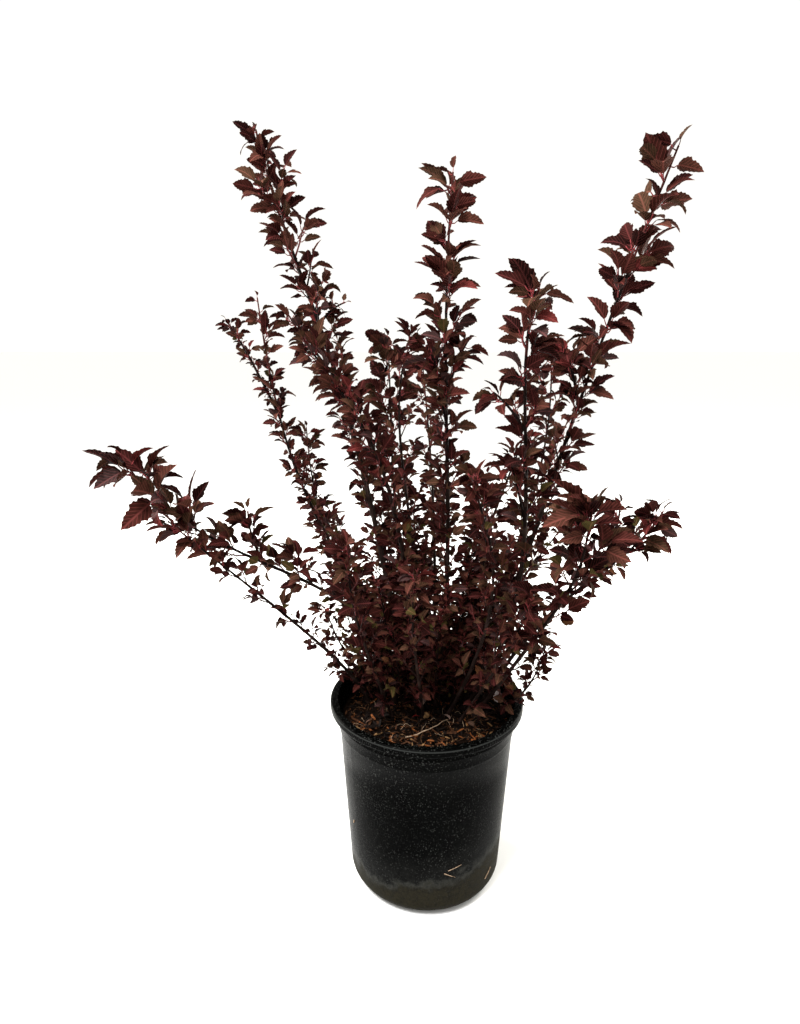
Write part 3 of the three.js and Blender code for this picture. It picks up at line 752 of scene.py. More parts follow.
class Shader:
    """A procedural material and short calls to build it. An input is a value or a node's output."""

    def __init__(self, name):
        self.material = bpy.data.materials.new(name)
        self.material.use_nodes = True
        self.nodes = self.material.node_tree.nodes
        self.links = self.material.node_tree.links

    def put(self, socket, value):
        if isinstance(value, bpy.types.NodeSocket):
            self.links.new(value, socket)
        else:
            socket.default_value = value

    def fill(self, node, inputs):
        for name, value in inputs.items():
            self.put(node.inputs[name.replace("_", " ")], value)

    def add(self, kind, **inputs):
        """A new node's outputs."""
        node = self.nodes.new("ShaderNode" + kind)
        self.fill(node, inputs)
        return node.outputs

    def made(self, colour, roughness, gloss, **inputs):
        """The material, with the inputs of its surface."""
        inputs.update(Base_Color=colour, Roughness=roughness, Specular_IOR_Level=gloss)
        self.fill(self.nodes["Principled BSDF"], inputs)
        return self.material

    def place(self, stretch=(1, 1, 1)):
        """Where a point is on the object, with each axis stretched."""
        return self.add("Mapping", Vector=self.add("TexCoord")["Object"], Scale=stretch)["Vector"]

    def noise(self, scale, detail=3.0, stretch=(1, 1, 1), rough=0.55):
        place = self.place(stretch)
        return self.add("TexNoise", Vector=place, Scale=scale, Detail=detail, Roughness=rough)["Fac"]

    def ramp(self, value, low, high, to_low=0.0, to_high=1.0):
        """The value's range from low to high, spread over another and clamped."""
        found = self.add("MapRange", Value=value, From_Min=low, From_Max=high, To_Min=to_low, To_Max=to_high)
        return found["Result"]

    def mix(self, share, one, other):
        """A colour between two others."""
        node = self.nodes.new("ShaderNodeMix")
        node.data_type = "RGBA"
        self.put(node.inputs["Factor"], share)
        for place, colour in ((6, one), (7, other)):
            self.put(node.inputs[place], (*colour, 1) if isinstance(colour, tuple) else colour)
        return node.outputs[2]

    def shades(self, value, low, high, colour, dark, light):
        """A colour from its dark shade to its light one, as a value goes from low to high."""
        return self.mix(self.ramp(value, low, high), tinted(colour, dark), tinted(colour, light))

    def math(self, operation, *values):
        node = self.nodes.new("ShaderNodeMath")
        node.operation = operation
        for socket, value in zip(node.inputs, values):
            self.put(socket, value)
        return node.outputs[0]

    def times(self, one, other):
        return self.math("MULTIPLY", one, other)

    def length(self, vector):
        node = self.nodes.new("ShaderNodeVectorMath")
        node.operation = "LENGTH"
        self.put(node.inputs[0], vector)
        return node.outputs["Value"]

    def sum(self, start, *terms):
        """A value and some more, each of them times its own factor."""
        for value, factor in terms:
            start = self.math("ADD", start, self.times(value, factor))
        return start

    def bump(self, height, distance, strength):
        return self.add("Bump", Height=height, Distance=distance, Strength=strength)["Normal"]


def leaf_material(name, colour):
    """A ninebark leaf: mottled, with sunken veins that run out from its midrib."""
    shader = Shader(name)
    across, along, _ = shader.add("SeparateXYZ", Vector=shader.add("TexCoord")["UV"])
    off_rib = shader.math("ABSOLUTE", shader.math("SUBTRACT", across, 0.5))
    slant = shader.math("SUBTRACT", along, shader.times(off_rib, 1.25))
    wave = shader.math("PINGPONG", shader.times(slant, 7.0), 0.5)
    side_vein = shader.ramp(wave, 0.03, 0.20, 0.8, 0.0)
    midrib = shader.ramp(off_rib, 0.012, 0.045, 1.0, 0.0)
    vein = shader.math("MAXIMUM", side_vein, midrib)
    mottle = shader.noise(140.0)
    ground = shader.shades(mottle, 0.3, 0.7, colour, 0.68, 1.3)
    red, green, blue = colour
    vein_colour = (min(1.0, red * 1.8 + 0.05), green * 1.6 + 0.012, blue * 1.6 + 0.012)
    height = shader.math("SUBTRACT", shader.times(mottle, 0.4), vein)
    return shader.made(
        colour=shader.mix(shader.times(vein, 0.75), ground, vein_colour),
        roughness=shader.ramp(mottle, 0.25, 0.75, 0.62, 0.78),
        gloss=0.012,
        Normal=shader.bump(height, 0.0007, 0.8),
    )


def bark_material(name, colour, pale, roughness):
    """Bark with fine streaks along the stem and small pale pores."""
    shader = Shader(name)
    streaks = shader.noise(900.0, 4.0, stretch=(1, 1, 0.14))
    patches = shader.noise(70.0, 3.0)
    pores = shader.ramp(shader.noise(650.0, 1.0, stretch=(1, 1, 0.7)), 0.7, 0.76)
    ground = shader.shades(streaks, 0.35, 0.65, colour, 0.55, 1.35)
    worn = shader.mix(shader.ramp(patches, 0.52, 0.72), ground, pale)
    return shader.made(
        colour=shader.mix(shader.times(pores, 0.7), worn, tinted(pale, 1.6)),
        roughness=shader.ramp(patches, 0.3, 0.7, roughness - 0.12, roughness + 0.1),
        gloss=0.03,
        Normal=shader.bump(shader.math("ADD", streaks, pores), 0.0006, 0.7),
    )


def stalk_material(name, colour):
    """The smooth skin of young wood and leaf stalks, redder on some stretches."""
    shader = Shader(name)
    patches = shader.noise(160.0, 2.0)
    return shader.made(
        colour=shader.shades(patches, 0.35, 0.65, colour, 0.6, 1.3),
        roughness=shader.ramp(patches, 0.3, 0.7, 0.38, 0.55),
        gloss=0.06,
        Normal=shader.bump(shader.noise(1200.0, 2.0, stretch=(1, 1, 0.2)), 0.0003, 0.5),
    )


def dusty_plastic(shader, haze):
    """Black plastic with dusty specks: its colour, its grain and its dust."""
    grain = shader.ramp(shader.noise(520.0, 2.0, rough=0.7), 0.5, 0.7)
    sparse = shader.ramp(shader.noise(9.0, 2.0), 0.36, 0.62, 0.25, 1.0)
    dust = shader.times(shader.ramp(shader.noise(560.0, 0.0), 0.66, 0.76), sparse)
    plastic = shader.mix(shader.ramp(haze, 0.4, 0.75), (0.0001, 0.0001, 0.0001), (0.0006, 0.0007, 0.0006))
    grained = shader.mix(shader.times(grain, sparse), plastic, (0.0030, 0.0032, 0.0030))
    return shader.mix(dust, grained, (0.028, 0.029, 0.027)), grain, dust


def soiled_foot(shader, across, height, ground):
    """The colour under a veil, a crust and a film of dried soil, which end at a ragged tide line."""
    broad, ragged = shader.noise(6.5, 1.0), shader.noise(60.0, 5.0)
    tide = shader.sum(height, (broad, 0.04), (across, -0.22), (ragged, 0.045))
    patchy = shader.ramp(shader.noise(190.0, 5.0, rough=0.7), 0.35, 0.65, 0.35, 0.9)
    veil = shader.times(shader.ramp(tide, 0.094, 0.143, 0.75, 0.0), patchy)
    crust = shader.times(shader.ramp(tide, 0.098, 0.106, 1.0, 0.0), shader.ramp(tide, 0.087, 0.094))
    film = shader.times(shader.ramp(tide, 0.082, 0.098, 1.0, 0.0), patchy)
    veiled = shader.mix(veil, ground, (0.0110, 0.0112, 0.0105))
    crusted = shader.mix(shader.times(crust, patchy), veiled, (0.026, 0.026, 0.023))
    return shader.mix(film, crusted, (0.0160, 0.0138, 0.0080)), film


def painted_rim_highlight(shader, height):
    """A painted highlight along the pot's outer rim: a pale line just below the top of its lip."""
    outer = shader.ramp(shader.length(shader.place((1, 1, 0))), RIM_RADIUS - 0.003, RIM_RADIUS - 0.001)
    crest = shader.ramp(height, POT_HEIGHT - 0.0022, POT_HEIGHT - 0.0012, 1.0, 0.0)
    below_crest = shader.ramp(height, POT_HEIGHT - 0.0036, POT_HEIGHT - 0.0026)
    return shader.times(outer, shader.times(crest, below_crest))


def pot_material():
    """Black moulded plastic: a fine grain, dusty specks, a painted highlight along its rim, and a film of
    dried soil at its foot.
    """
    shader = Shader("pot_plastic")
    across, _, height = shader.add("SeparateXYZ", Vector=shader.place())
    haze = shader.noise(14.0, 4.0, stretch=(1, 1, 0.5))
    dusty, grain, dust = dusty_plastic(shader, haze)
    soiled, film = soiled_foot(shader, across, height, dusty)
    dull = shader.times(shader.math("MAXIMUM", film, dust), 0.3)
    return shader.made(
        # The pale line along the rim is a painted highlight.
        colour=shader.mix(painted_rim_highlight(shader, height), soiled, (0.020, 0.021, 0.020)),
        roughness=shader.math("ADD", shader.ramp(haze, 0.3, 0.8, 0.23, 0.31), dull),
        gloss=0.009,
        Normal=shader.bump(shader.math("ADD", grain, dust), 0.00012, 0.6),
    )


def soil_material():
    """Potting mix: dark, with paler crumbs and fibres."""
    shader = Shader("potting_mix")
    coarse, fine = shader.noise(95.0, 6.0, rough=0.65), shader.noise(600.0, 4.0, rough=0.7)
    ground = shader.mix(shader.ramp(coarse, 0.35, 0.7), (0.0012, 0.0007, 0.0005), (0.0090, 0.0044, 0.0025))
    crumbs = shader.times(shader.ramp(fine, 0.62, 0.74), 0.6)
    return shader.made(
        colour=shader.mix(crumbs, ground, (0.045, 0.021, 0.010)),
        roughness=shader.ramp(fine, 0.3, 0.7, 0.75, 0.95),
        gloss=0.02,
        Normal=shader.bump(shader.math("ADD", coarse, fine), 0.003, 1.0),
    )


def wood_material(name, colour):
    """Torn wood and straw: streaked, and a little darker in random patches, a painted shade that stands for
    its hollows.
    """
    shader = Shader(name)
    streaks, patches = shader.noise(420.0, 4.0, stretch=(1, 0.3, 1)), shader.noise(90.0, 2.0)
    streaked = shader.shades(streaks, 0.35, 0.65, colour, 0.5, 1.25)
    return shader.made(
        colour=shader.mix(shader.ramp(patches, 0.55, 0.8, 0.0, 0.6), streaked, tinted(colour, 0.3)),
        roughness=shader.ramp(patches, 0.3, 0.7, 0.6, 0.85),
        gloss=0.06,
        Normal=shader.bump(streaks, 0.0008, 0.8),
    )


def palette(kind, tints):
    """One material of a kind for each named colour."""
    return [kind(name, colour) for name, colour in tints.items()]


def finish_piece(piece):
    """The piece rides on the one body."""
    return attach(piece, "root")


# The pot, as a revolved outline. These sizes follow the CAD's own.
BASE_RADIUS = 0.100
WALL = 0.0022
LIP_DEPTH = 0.011
LIP_OVERHANG = 0.008
LIP_ROUND = 0.003
SHOULDER_BELOW_RIM = 0.038
SHOULDER_STEP = 0.0016
SHOULDER_RISE = 0.003
CORNER_RADIUS = 0.018
FAINT_RING_BELOW_RIM = 0.021
FAINT_RING = 0.0005
FAINT_RING_REACH = 0.001
POT_SIDES = 144
SEAM_TURN = math.radians(57)
SEAM_HEIGHT = 0.0004
SEAM_WIDTH = 0.0011


def arc(centre, radius, start, end, steps):
    """Points of an arc in degrees, from start to end."""
    angles = [math.radians(start + (end - start) * i / steps) for i in range(steps + 1)]
    return [(centre[0] + radius * math.cos(a), centre[1] + radius * math.sin(a)) for a in angles]


def wall_radius(z):
    """The outside of the pot's wall at a height."""
    return BASE_RADIUS + (RIM_RADIUS - LIP_OVERHANG - BASE_RADIUS) / POT_HEIGHT * z


SHOULDER = POT_HEIGHT - SHOULDER_BELOW_RIM
SHOULDER_RADIUS = wall_radius(SHOULDER)
CORNER = (wall_radius(CORNER_RADIUS) - CORNER_RADIUS, CORNER_RADIUS)
INNER_LIP = RIM_RADIUS - LIP_OVERHANG - WALL


def pot_outline():
    """From the middle of the underside, up outside, over the lip and down inside to the base."""
    ring = POT_HEIGHT - FAINT_RING_BELOW_RIM
    lip_foot, lip = POT_HEIGHT - LIP_DEPTH, RIM_RADIUS - LIP_ROUND
    inner_round = LIP_ROUND / 2
    wall = [(CORNER_RADIUS + (SHOULDER - CORNER_RADIUS) * share, share) for share in (0.2, 0.4, 0.6, 0.8)]
    return [
        (0, 0),
        (CORNER[0] * 0.5, 0),
        *arc(CORNER, CORNER_RADIUS, -90, 0, 12),
        *[(wall_radius(z) - SHOULDER_STEP * share, z) for z, share in wall],
        (SHOULDER_RADIUS - SHOULDER_STEP, SHOULDER - 0.0004),
        (SHOULDER_RADIUS - SHOULDER_STEP * 0.3, SHOULDER + 0.0006),
        (SHOULDER_RADIUS, SHOULDER + SHOULDER_RISE),
        (wall_radius(ring), ring - FAINT_RING_REACH),
        (wall_radius(ring) + FAINT_RING, ring),
        (wall_radius(ring), ring + FAINT_RING_REACH),
        (wall_radius(lip_foot) - 0.0002, lip_foot + 0.0008),
        (lip, lip_foot),
        *arc((lip, lip_foot + LIP_ROUND), LIP_ROUND, -60, 0, 4),
        *arc((lip, POT_HEIGHT - LIP_ROUND), LIP_ROUND, 0, 90, 6),
        *arc((INNER_LIP + inner_round, POT_HEIGHT - inner_round), inner_round, 90, 180, 4),
        (SHOULDER_RADIUS - SHOULDER_STEP - WALL, SHOULDER),
        (wall_radius(CORNER_RADIUS) - WALL, CORNER_RADIUS),
        (CORNER[0], WALL),
        (0, WALL),
    ]


def revolved(name, outline, sides, material, shape):
    """A closed mesh of revolution, its points moved by a function. The outline's ends are on the axis."""
    radii = np.array([radius for radius, _ in outline[1:-1]])
    heights = np.array([z for _, z in outline[1:-1]])
    radius, angle = np.meshgrid(radii, around(sides), indexing="ij")
    radius, height = shape(radius, angle, np.repeat(heights[:, None], sides, 1))
    points = np.stack([radius * np.sin(angle), -radius * np.cos(angle), height], 2).reshape(-1, 3)
    count = len(points)
    ends = [[0, 0, outline[0][1]], [0, 0, outline[-1][1]]]
    bottom, top = fan(0, sides, count)[:, FLIPPED], fan(count - sides, sides, count + 1)
    batch = Batch()
    faces = np.concatenate([ring_faces(len(radii), sides), bottom, top])
    batch.add(np.concatenate([points, ends]), faces)
    return batch.make(name, [material])


def with_seams(radius, angle, height):
    """Two mould seams run up the outside of the wall, across from each other."""
    for turn in (-SEAM_TURN, math.pi - SEAM_TURN):
        off = np.angle(np.exp(1j * (angle - turn))) * radius
        on_wall = (height > CORNER_RADIUS) & (height < POT_HEIGHT - LIP_DEPTH)
        outside = on_wall & (radius > wall_radius(height) - 0.0018)
        radius = radius + outside * SEAM_HEIGHT * np.exp(-((off / SEAM_WIDTH) ** 2))
    return radius, height


def flat_way(turn):
    """A level direction, turned from +X."""
    return Vector((math.cos(turn), math.sin(turn), 0))


DRAINS = 4
DRAIN_RADIUS = 0.006
DRAIN_REACH = 0.011
DRAIN_SIDES = 20


def drain_drill():
    """Closed rods where the CAD has its drain holes, through the corner of the base."""
    batch = Batch()
    inset = CORNER_RADIUS * (1 - math.sqrt(0.5))
    for i in range(DRAINS):
        outward = flat_way(2 * math.pi * (i + 0.5) / DRAINS)
        centre = outward * (BASE_RADIUS - inset) + UP * inset
        way = (outward - UP).normalized() * DRAIN_REACH
        start = batch.count
        rod(batch, [centre - way, centre + way], [DRAIN_RADIUS, DRAIN_RADIUS], DRAIN_SIDES)
        cap = fan(start, DRAIN_SIDES, start)[1:-1, FLIPPED]
        batch.faces.append(cap)
        batch.tints.append(np.zeros(len(cap), int))
    return batch.make("drill", [])


def drill_drains(pot):
    drill = drain_drill()
    cut = pot.modifiers.new("drains", "BOOLEAN")
    cut.object, cut.operation, cut.solver = drill, "DIFFERENCE", "EXACT"
    bpy.context.view_layer.update()
    evaluated = pot.evaluated_get(bpy.context.evaluated_depsgraph_get())
    drilled = bpy.data.meshes.new_from_object(evaluated)
    pot.modifiers.clear()
    pot.data = drilled
    bpy.data.objects.remove(drill)


def make_pot():
    pot = revolved("nursery_pot", pot_outline(), POT_SIDES, pot_material(), with_seams)
    drill_drains(pot)
    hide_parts("pot")
    finish_piece(pot)


# The potting mix: a lumpy top inside the pot, clear of its wall and its base.
SOIL_RINGS = 46
SOIL_SIDES = 150
SOIL_GAP = 0.0004
SOIL_LIFT = 0.0006
SOIL_EDGE = 0.008


def soil_height(x, y):
    """The lumpy surface, from a few waves of different lengths, with a small rise in the middle."""
    lumps = np.sin(90 * x + 3 * np.sin(70 * y)) * np.sin(85 * y + 2 * np.sin(60 * x))
    crumbs = np.sin(330 * x + 5 * np.sin(210 * y)) * np.sin(300 * y + 4 * np.sin(260 * x))
    grains = np.sin(900 * x + 9 * np.sin(700 * y)) * np.sin(870 * y + 8 * np.sin(640 * x))
    rise = 0.004 * np.exp(-((x / 0.07) ** 2) - (((y - 0.02) / 0.06) ** 2))
    return SOIL_TOP - 0.0005 + 0.0016 * lumps + 0.0013 * crumbs + 0.0007 * grains + rise


def soil_radius(z):
    """The inside of the wall, a gap clear of it."""
    radii = [wall_radius(CORNER_RADIUS) - WALL, SHOULDER_RADIUS - SHOULDER_STEP - WALL, INNER_LIP]
    return float(np.interp(z, [CORNER_RADIUS, SHOULDER, POT_HEIGHT], radii)) - SOIL_GAP


def lumpy(radius, angle, height):
    lumps = soil_height(radius * np.sin(angle), -radius * np.cos(angle))
    return radius, np.where(height > SOIL_TOP - 0.001, lumps, height)


def make_soil():
    low, top_radius = WALL + SOIL_LIFT, soil_radius(SOIL_TOP)
    outline = [(0, low), (CORNER[0], low)]
    outline += [(soil_radius(z), z) for z in (CORNER_RADIUS, SOIL_TOP - SOIL_EDGE)]
    outline += [(top_radius * (1 - i / SOIL_RINGS), SOIL_TOP) for i in range(SOIL_RINGS)]
    outline.append((0, SOIL_TOP))
    soil = revolved("potting_mix", outline, SOIL_SIDES, soil_material(), lumpy)
    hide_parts("soil")
    finish_piece(soil)


# What lies on the potting mix. The chips are darker behind a line, among the stems.
CHIP_TINTS = {
    "chip_orange": (0.150, 0.048, 0.014),
    "chip_tan": (0.190, 0.105, 0.046),
    "chip_brown": (0.045, 0.018, 0.008),
    "chip_dark": (0.006, 0.0035, 0.0026),
}
CHIP_MIX = [0.20, 0.10, 0.32, 0.38]
SHADED_CHIP_MIX = [0.05, 0.02, 0.25, 0.68]
SHADED_CHIPS_FROM = -0.035
CHIPS = 2400
CHIP_FIELD = 0.106

# A chip's least length and what is added to the largest, its tilt and its roll in degrees.
CHIP_LEAST, CHIP_GAIN = 0.0030, 0.013
CHIP_TILT, CHIP_ROLL = 24, 35


def splinter(batch, centre, way, normal, size, tint, seed):
    """A torn splinter: a thin slab, narrower and ragged at both of its ends."""
    length, width, thick = size
    across = way.cross(normal).normalized()
    turn = np.array([across, way, across.cross(way)])
    ring = []
    for i, (side, end) in enumerate([(-1, -1), (1, -1), (1, 1), (-1, 1)]):
        sideways = side * width * between(0.1, 0.5, seed, i, 1)
        ring.append((sideways, end * length * between(0.36, 0.5, seed, i, 2)))
    ring.insert(2, (width * 0.5, length * between(-0.15, 0.15, seed, 5, 1)))
    ring.append((-width * 0.5, length * between(-0.15, 0.15, seed, 6, 1)))
    top = [(x, y, thick * between(0.2, 0.6, seed, i, 3)) for i, (x, y) in enumerate(ring)]
    low = [(x * 0.9, y * 0.9, -thick * 0.5) for x, y in ring]
    points = np.array(top + low) @ turn + np.array(centre)
    faces = [(0, i, i + 1) for i in range(1, 5)] + [(6, i + 7, i + 6) for i in range(1, 5)]
    for i in range(6):
        j = (i + 1) % 6
        faces += [(i, i + 6, j + 6), (i, j + 6, j)]
    batch.add(points, np.array(faces), tint)


def on_soil(radius, turn, lift=0.0):
    x, y = radius * math.sin(turn), -radius * math.cos(turn)
    return Vector((x, y, float(soil_height(x, y)) + lift))


# The pale pebble near the stems: its place, its half sizes, its rings and their sides.
PEBBLE_AT = (-0.001, -0.016)
PEBBLE = np.array([0.0048, 0.0038, 0.0042])
PEBBLE_RINGS, PEBBLE_SIDES = 8, 10


def lay_pebble(batch):
    """A rounded pebble, made of rings from its bottom up."""
    turns = np.tile(around(PEBBLE_SIDES), PEBBLE_RINGS)
    height = np.repeat(np.linspace(-1, 1, PEBBLE_RINGS), PEBBLE_SIDES)
    width = np.sqrt(1 - (0.98 * height) ** 2)
    points = np.stack([width * np.cos(turns), width * np.sin(turns), height], 1)
    centre = np.array([*PEBBLE_AT, float(soil_height(*PEBBLE_AT)) + 0.6 * PEBBLE[2]])
    last = len(points) - PEBBLE_SIDES
    ends = [(0, i + 1, i) for i in range(1, PEBBLE_SIDES - 1)]
    ends += [(last, last + i, last + i + 1) for i in range(1, PEBBLE_SIDES - 1)]
    faces = np.concatenate([ring_faces(PEBBLE_RINGS, PEBBLE_SIDES), np.array(ends)])
    batch.add(points * PEBBLE + centre, faces, 1)


def lay_chip(batch, i):
    """One bark chip, most of them small, at its place on a spiral."""
    length = CHIP_LEAST + CHIP_GAIN * noise(i, 2, 1) ** 3
    size = (length, length * between(0.08, 0.28, i, 3, 1), 0.0005 + length * 0.06)
    flat = flat_way(2 * math.pi * noise(i, 4, 1))
    tilt = math.radians(between(-CHIP_TILT, CHIP_TILT, i, 5, 1))
    way = (flat * math.cos(tilt) + UP * math.sin(tilt)).normalized()
    normal = lean(UP, flat.cross(UP), between(-CHIP_ROLL, CHIP_ROLL, i, 6, 1))
    radius, turn = CHIP_FIELD * math.sqrt((i + 0.5) / CHIPS), GOLDEN_TURN * i + 0.3 * noise(i, 1, 1)
    centre = on_soil(radius, turn, 0.0006 + 0.3 * length * abs(math.sin(tilt)))
    mix = CHIP_MIX if centre.y < SHADED_CHIPS_FROM else SHADED_CHIP_MIX
    splinter(batch, centre, way, normal, size, pick(mix, i, 7, 1), i)


def make_chips():
    """Bark chips and splinters all over the potting mix, and one pebble."""
    batch = Batch()
    for i in range(CHIPS):
        lay_chip(batch, i)
    lay_pebble(batch)
    finish_piece(batch.make("bark_chips", palette(wood_material, CHIP_TINTS), smooth=False))


STRAW_TINTS = {"straw_pale": (0.30, 0.21, 0.14), "straw_brown": (0.07, 0.036, 0.018)}

# The long pale straw that lies curved at the front: its two ends, how far its middle bows out, its radius.
LONG_STRAW = (Vector((-0.028, -0.059, 0)), Vector((0.033, -0.012, 0)), Vector((0.005, -0.006, 0)), 0.0008)

# The short straws: how many, where they start, their lengths, their radii, and how far out they may end.
SHORT_STRAWS = 130
STRAW_STARTS = (0.02, 0.10)
STRAW_LENGTHS = (0.008, 0.024)
STRAW_RADII = (0.0002, 0.0004)
STRAW_FIELD = 0.104
STRAW_STEPS = 10
STRAW_ARCH = 0.0030

# Bits of straw stuck to the outside of the pot's foot: turn from the front, height, slant and length.
STUCK_STRAWS = [
    (18.5, 0.073, 14, 0.018),
    (15, 0.063, -32, 0.017),
    (51, 0.033, 40, 0.016),
    (-62, 0.100, 80, 0.005),
]


def lay_straw(batch, start, end, bow, radius, tint):
    """A straw bent over the lumps of the soil."""
    points, radii = [], []
    for i in range(STRAW_STEPS + 1):
        t = i / STRAW_STEPS
        point = start.lerp(end, t) + bow * (4 * t * (1 - t))
        point.z = float(soil_height(point.x, point.y)) + radius + STRAW_ARCH * math.sin(math.pi * t)
        points.append(point)
        radii.append(radius * (1 - 0.4 * i / STRAW_STEPS))
    rod(batch, points, radii, 5, tint)


def lay_short_straw(batch, i):
    """A short straw, unless it would end too near the wall."""
    start = on_soil(between(*STRAW_STARTS, i, 1, 2), GOLDEN_TURN * i)
    flat, reach = flat_way(2 * math.pi * noise(i, 2, 2)), between(*STRAW_LENGTHS, i, 3, 2)
    end = start + flat * reach
    if end.xy.length < STRAW_FIELD:
        bow = flat.cross(UP) * reach * between(-0.2, 0.2, i, 4, 2)
        lay_straw(batch, start, end, bow, between(*STRAW_RADII, i, 5, 2), 0 if i % 4 == 0 else 1)


def stick_straw(batch, turn, height, slant, reach):
    """A short straw stuck to the outside of the pot's wall."""
    points = []
    for side in (-0.5, 0, 0.5):
        z = height + side * reach * math.sin(slant)
        at = turn + side * reach * math.cos(slant) / wall_radius(z)
        radius = wall_radius(z) - SHOULDER_STEP * (z - CORNER_RADIUS) / POT_HEIGHT + 0.0004
        points.append(Vector((radius * math.sin(at), -radius * math.cos(at), z)))
    rod(batch, points, [0.0006, 0.0006, 0.0004], 4)


def make_straws():
    batch = Batch()
    lay_straw(batch, *LONG_STRAW, 0)
    for i in range(SHORT_STRAWS):
        lay_short_straw(batch, i)
    for turn, height, slant, reach in STUCK_STRAWS:
        stick_straw(batch, math.radians(turn), height, math.radians(slant), reach)
    finish_piece(batch.make("straws", palette(wood_material, STRAW_TINTS)))


# Dry leaves on the soil: where each one's foot lies, its heading and rise in degrees, length and tint.
FALLEN_TINTS = {
    "fallen_pale": (0.52, 0.45, 0.43),
    "fallen_grey": (0.165, 0.115, 0.095),
    "fallen_brown": (0.060, 0.038, 0.026),
    "fallen_red": (0.150, 0.014, 0.012),
}
FALLEN = [
    ((0.098, 0.022), 100, 72, 0.019, 0),
    ((-0.004, 0.010), 80, 48, 0.026, 1),
    ((-0.018, -0.019), 20, 15, 0.010, 3),
    ((0.052, -0.026), -30, 10, 0.014, 2),
    ((-0.070, -0.020), 200, 12, 0.016, 2),
    ((0.070, 0.002), 60, 25, 0.016, 1),
    ((-0.085, 0.035), 150, 12, 0.018, 2),
    ((0.030, -0.020), 130, 20, 0.012, 1),
]
FALLEN_LIFT = 0.002


def make_fallen():
    foliage = Foliage(Batch(), Batch())
    for i, (place, heading, rise, length, tint) in enumerate(FALLEN):
        flat = flat_way(math.radians(heading))
        direction = lean(flat, UP, rise)
        normal = lean(direction.cross(UP).cross(direction), flat.cross(UP), between(-25, 25, i, 2, 3))
        foot = Vector((*place, 0))
        foot.z = float(soil_height(foot.x, foot.y)) + FALLEN_LIFT
        foliage.blade(foot, direction, normal.normalized(), length, tint, i, 3)
    finish_piece(foliage.leaves.make("fallen_leaves", palette(leaf_material, FALLEN_TINTS)))


STALK_TINTS = {"stalk_red": (0.135, 0.021, 0.023), "stalk_dark": (0.060, 0.012, 0.011)}

# Each kind of bark: its colour, the colour of its pores and its roughness.
BARKS = {
    "bark_old": ((0.013, 0.0075, 0.0062), (0.032, 0.019, 0.0155), 0.7),
    "bark_dark": ((0.0060, 0.0029, 0.0024), (0.014, 0.0065, 0.0052), 0.6),
    "bark_young": ((0.040, 0.009, 0.008), (0.065, 0.016, 0.014), 0.55),
}
TWIG_BARK = ((0.014, 0.006, 0.005), (0.03, 0.015, 0.012), 0.55)
TWIG_RED = (0.080, 0.015, 0.015)


def make_foliage(foliage, name, materials, *nodes):
    """The leaves of one cane, or of the sprouts, in a piece of their own."""
    leaves = foliage.leaves.make(name, materials)
    if nodes:
        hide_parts(*nodes)
    finish_piece(leaves)


def grow_shoots(foliage, stems, shoots):
    for shoot in shoots:
        grow_stem(stems, shoot)
        grow(foliage, shoot)


def make_shrub():
    """The foliage of each cane by itself, and all stems, stalks and twigs, each kind in its own piece."""
    stems, twigs, stalks, low_stalks = Batch(), Batch(), Batch(), Batch()
    leaf_materials = palette(leaf_material, LEAF_TINTS)
    for seed, name in enumerate(CANES):
        foliage = Foliage(stalks, twigs)
        grow_shoots(foliage, stems, shoots_of(name, seed))
        make_foliage(foliage, f"foliage_{name}", leaf_materials, f"leaves_{name}")
    undergrowth = Foliage(low_stalks, twigs)
    grow_shoots(undergrowth, stems, sprouts())
    make_foliage(undergrowth, "foliage_sprouts", leaf_materials)
    stalk_materials = palette(stalk_material, STALK_TINTS)
    finish_piece(stalks.make("leaf_stalks", stalk_materials))
    finish_piece(low_stalks.make("sprout_stalks", stalk_materials))
    twig_materials = [bark_material("twig_brown", *TWIG_BARK), stalk_material("twig_red", TWIG_RED)]
    finish_piece(twigs.make("twigs", twig_materials))
    canes = stems.make("stems", [bark_material(name, *look) for name, look in BARKS.items()])
    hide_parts(*[f"cane_{name}" for name in CANES])
    finish_piece(canes)


FLOOR_REACH = 40.0
# Near the pot the floor is painted darker, a painted shade; far off it is paler.
FLOOR_NEAR_PAINTED_SHADE, FLOOR_FAR = (0.74, 0.74, 0.74), (0.96, 0.96, 0.955)


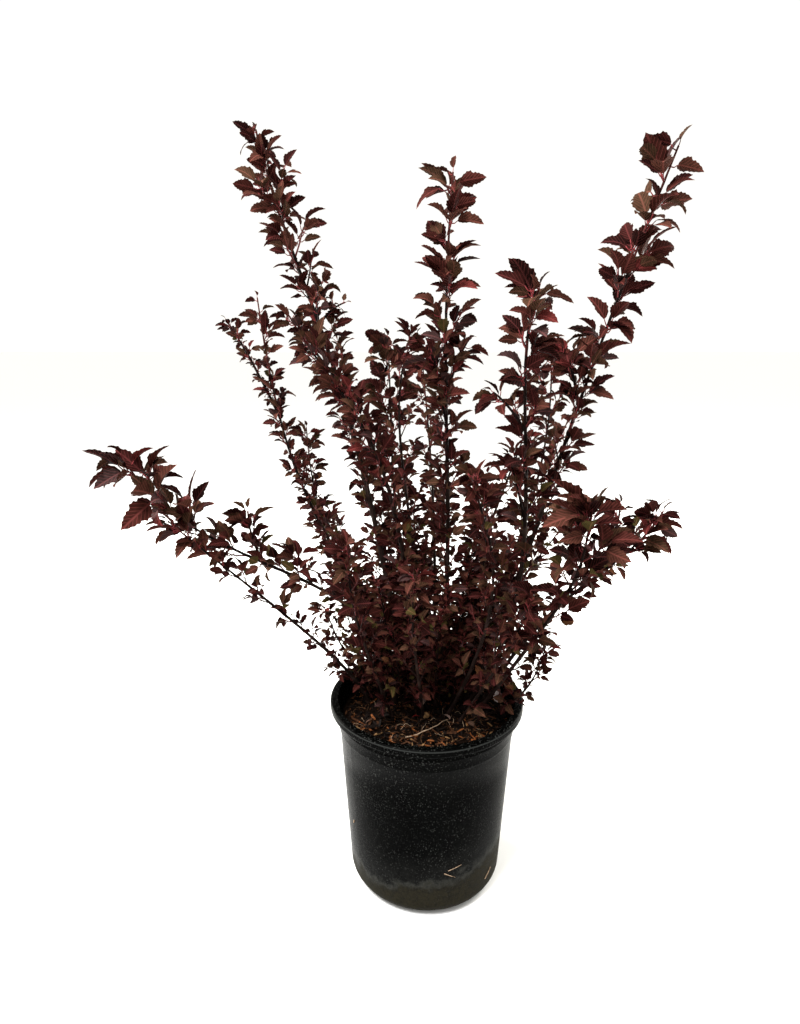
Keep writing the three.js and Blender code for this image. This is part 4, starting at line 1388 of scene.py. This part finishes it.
def make_floor():
    """A pale floor, which isn't part of the object, painted darker near the pot: painted shade that dims its
    reflection in the pot.
    """
    batch = Batch()
    corners = [(-1, -1, 0), (1, -1, 0), (1, 1, 0), (-1, 1, 0)]
    batch.add(np.array(corners) * FLOOR_REACH, np.array([[0, 1, 2], [0, 2, 3]]))
    shader = Shader("floor_pale")
    away = shader.ramp(shader.sum(shader.length(shader.place()), (shader.noise(6.0, 2.0), 1.0)), 0.9, 2.9)
    shader.made(shader.mix(away, FLOOR_NEAR_PAINTED_SHADE, FLOOR_FAR), roughness=0.9, gloss=0.1)
    batch.make("floor", [shader.material])


def add_light(name, place, aim, size, watts, colour=(1, 1, 1)):
    light = bpy.data.lights.new(name, "AREA")
    light.shape = "RECTANGLE"
    light.size, light.size_y = size
    light.energy = watts
    light.color = colour
    lamp = bpy.data.objects.new(name, light)
    lamp.location = place
    lamp.rotation_euler = (Vector(aim) - Vector(place)).to_track_quat("-Z", "Y").to_euler()
    bpy.context.scene.collection.objects.link(lamp)


WARM = (1, 0.98, 0.90)
SURROUND = (1, 0.99, 0.95, 1)
SURROUND_STRENGTH = 1.07


def light_scene():
    """Soft studio light: a large one above, one on each side and a pale surround."""
    world = bpy.data.worlds.new("studio")
    world.use_nodes = True
    background = world.node_tree.nodes["Background"]
    background.inputs["Color"].default_value = SURROUND
    background.inputs["Strength"].default_value = SURROUND_STRENGTH
    bpy.context.scene.world = world
    add_light("top", (-0.7, -0.7, 2.3), (0, 0, 0.5), (0.9, 0.9), 114)
    for name, x in (("left_side", -1.7), ("right_side", 1.7)):
        add_light(name, (x, 1.2, 0.9), (0, 0, 0.3), (0.7, 1.8), 95, WARM)


def add_camera():
    camera = bpy.data.cameras.new("camera")
    camera.lens = LENS_MM
    camera.sensor_width = 36.0
    camera.clip_start = 0.01
    holder = bpy.data.objects.new("camera", camera)
    holder.location = CAMERA_PLACE
    holder.rotation_euler = (math.pi / 2 - CAMERA_PITCH, 0, 0)
    bpy.context.scene.collection.objects.link(holder)
    bpy.context.scene.camera = holder


add_camera()
light_scene()
make_floor()
make_pot()
make_soil()
make_chips()
make_straws()
make_fallen()
make_shrub()
bpy.context.scene.view_settings.view_transform = "Standard"
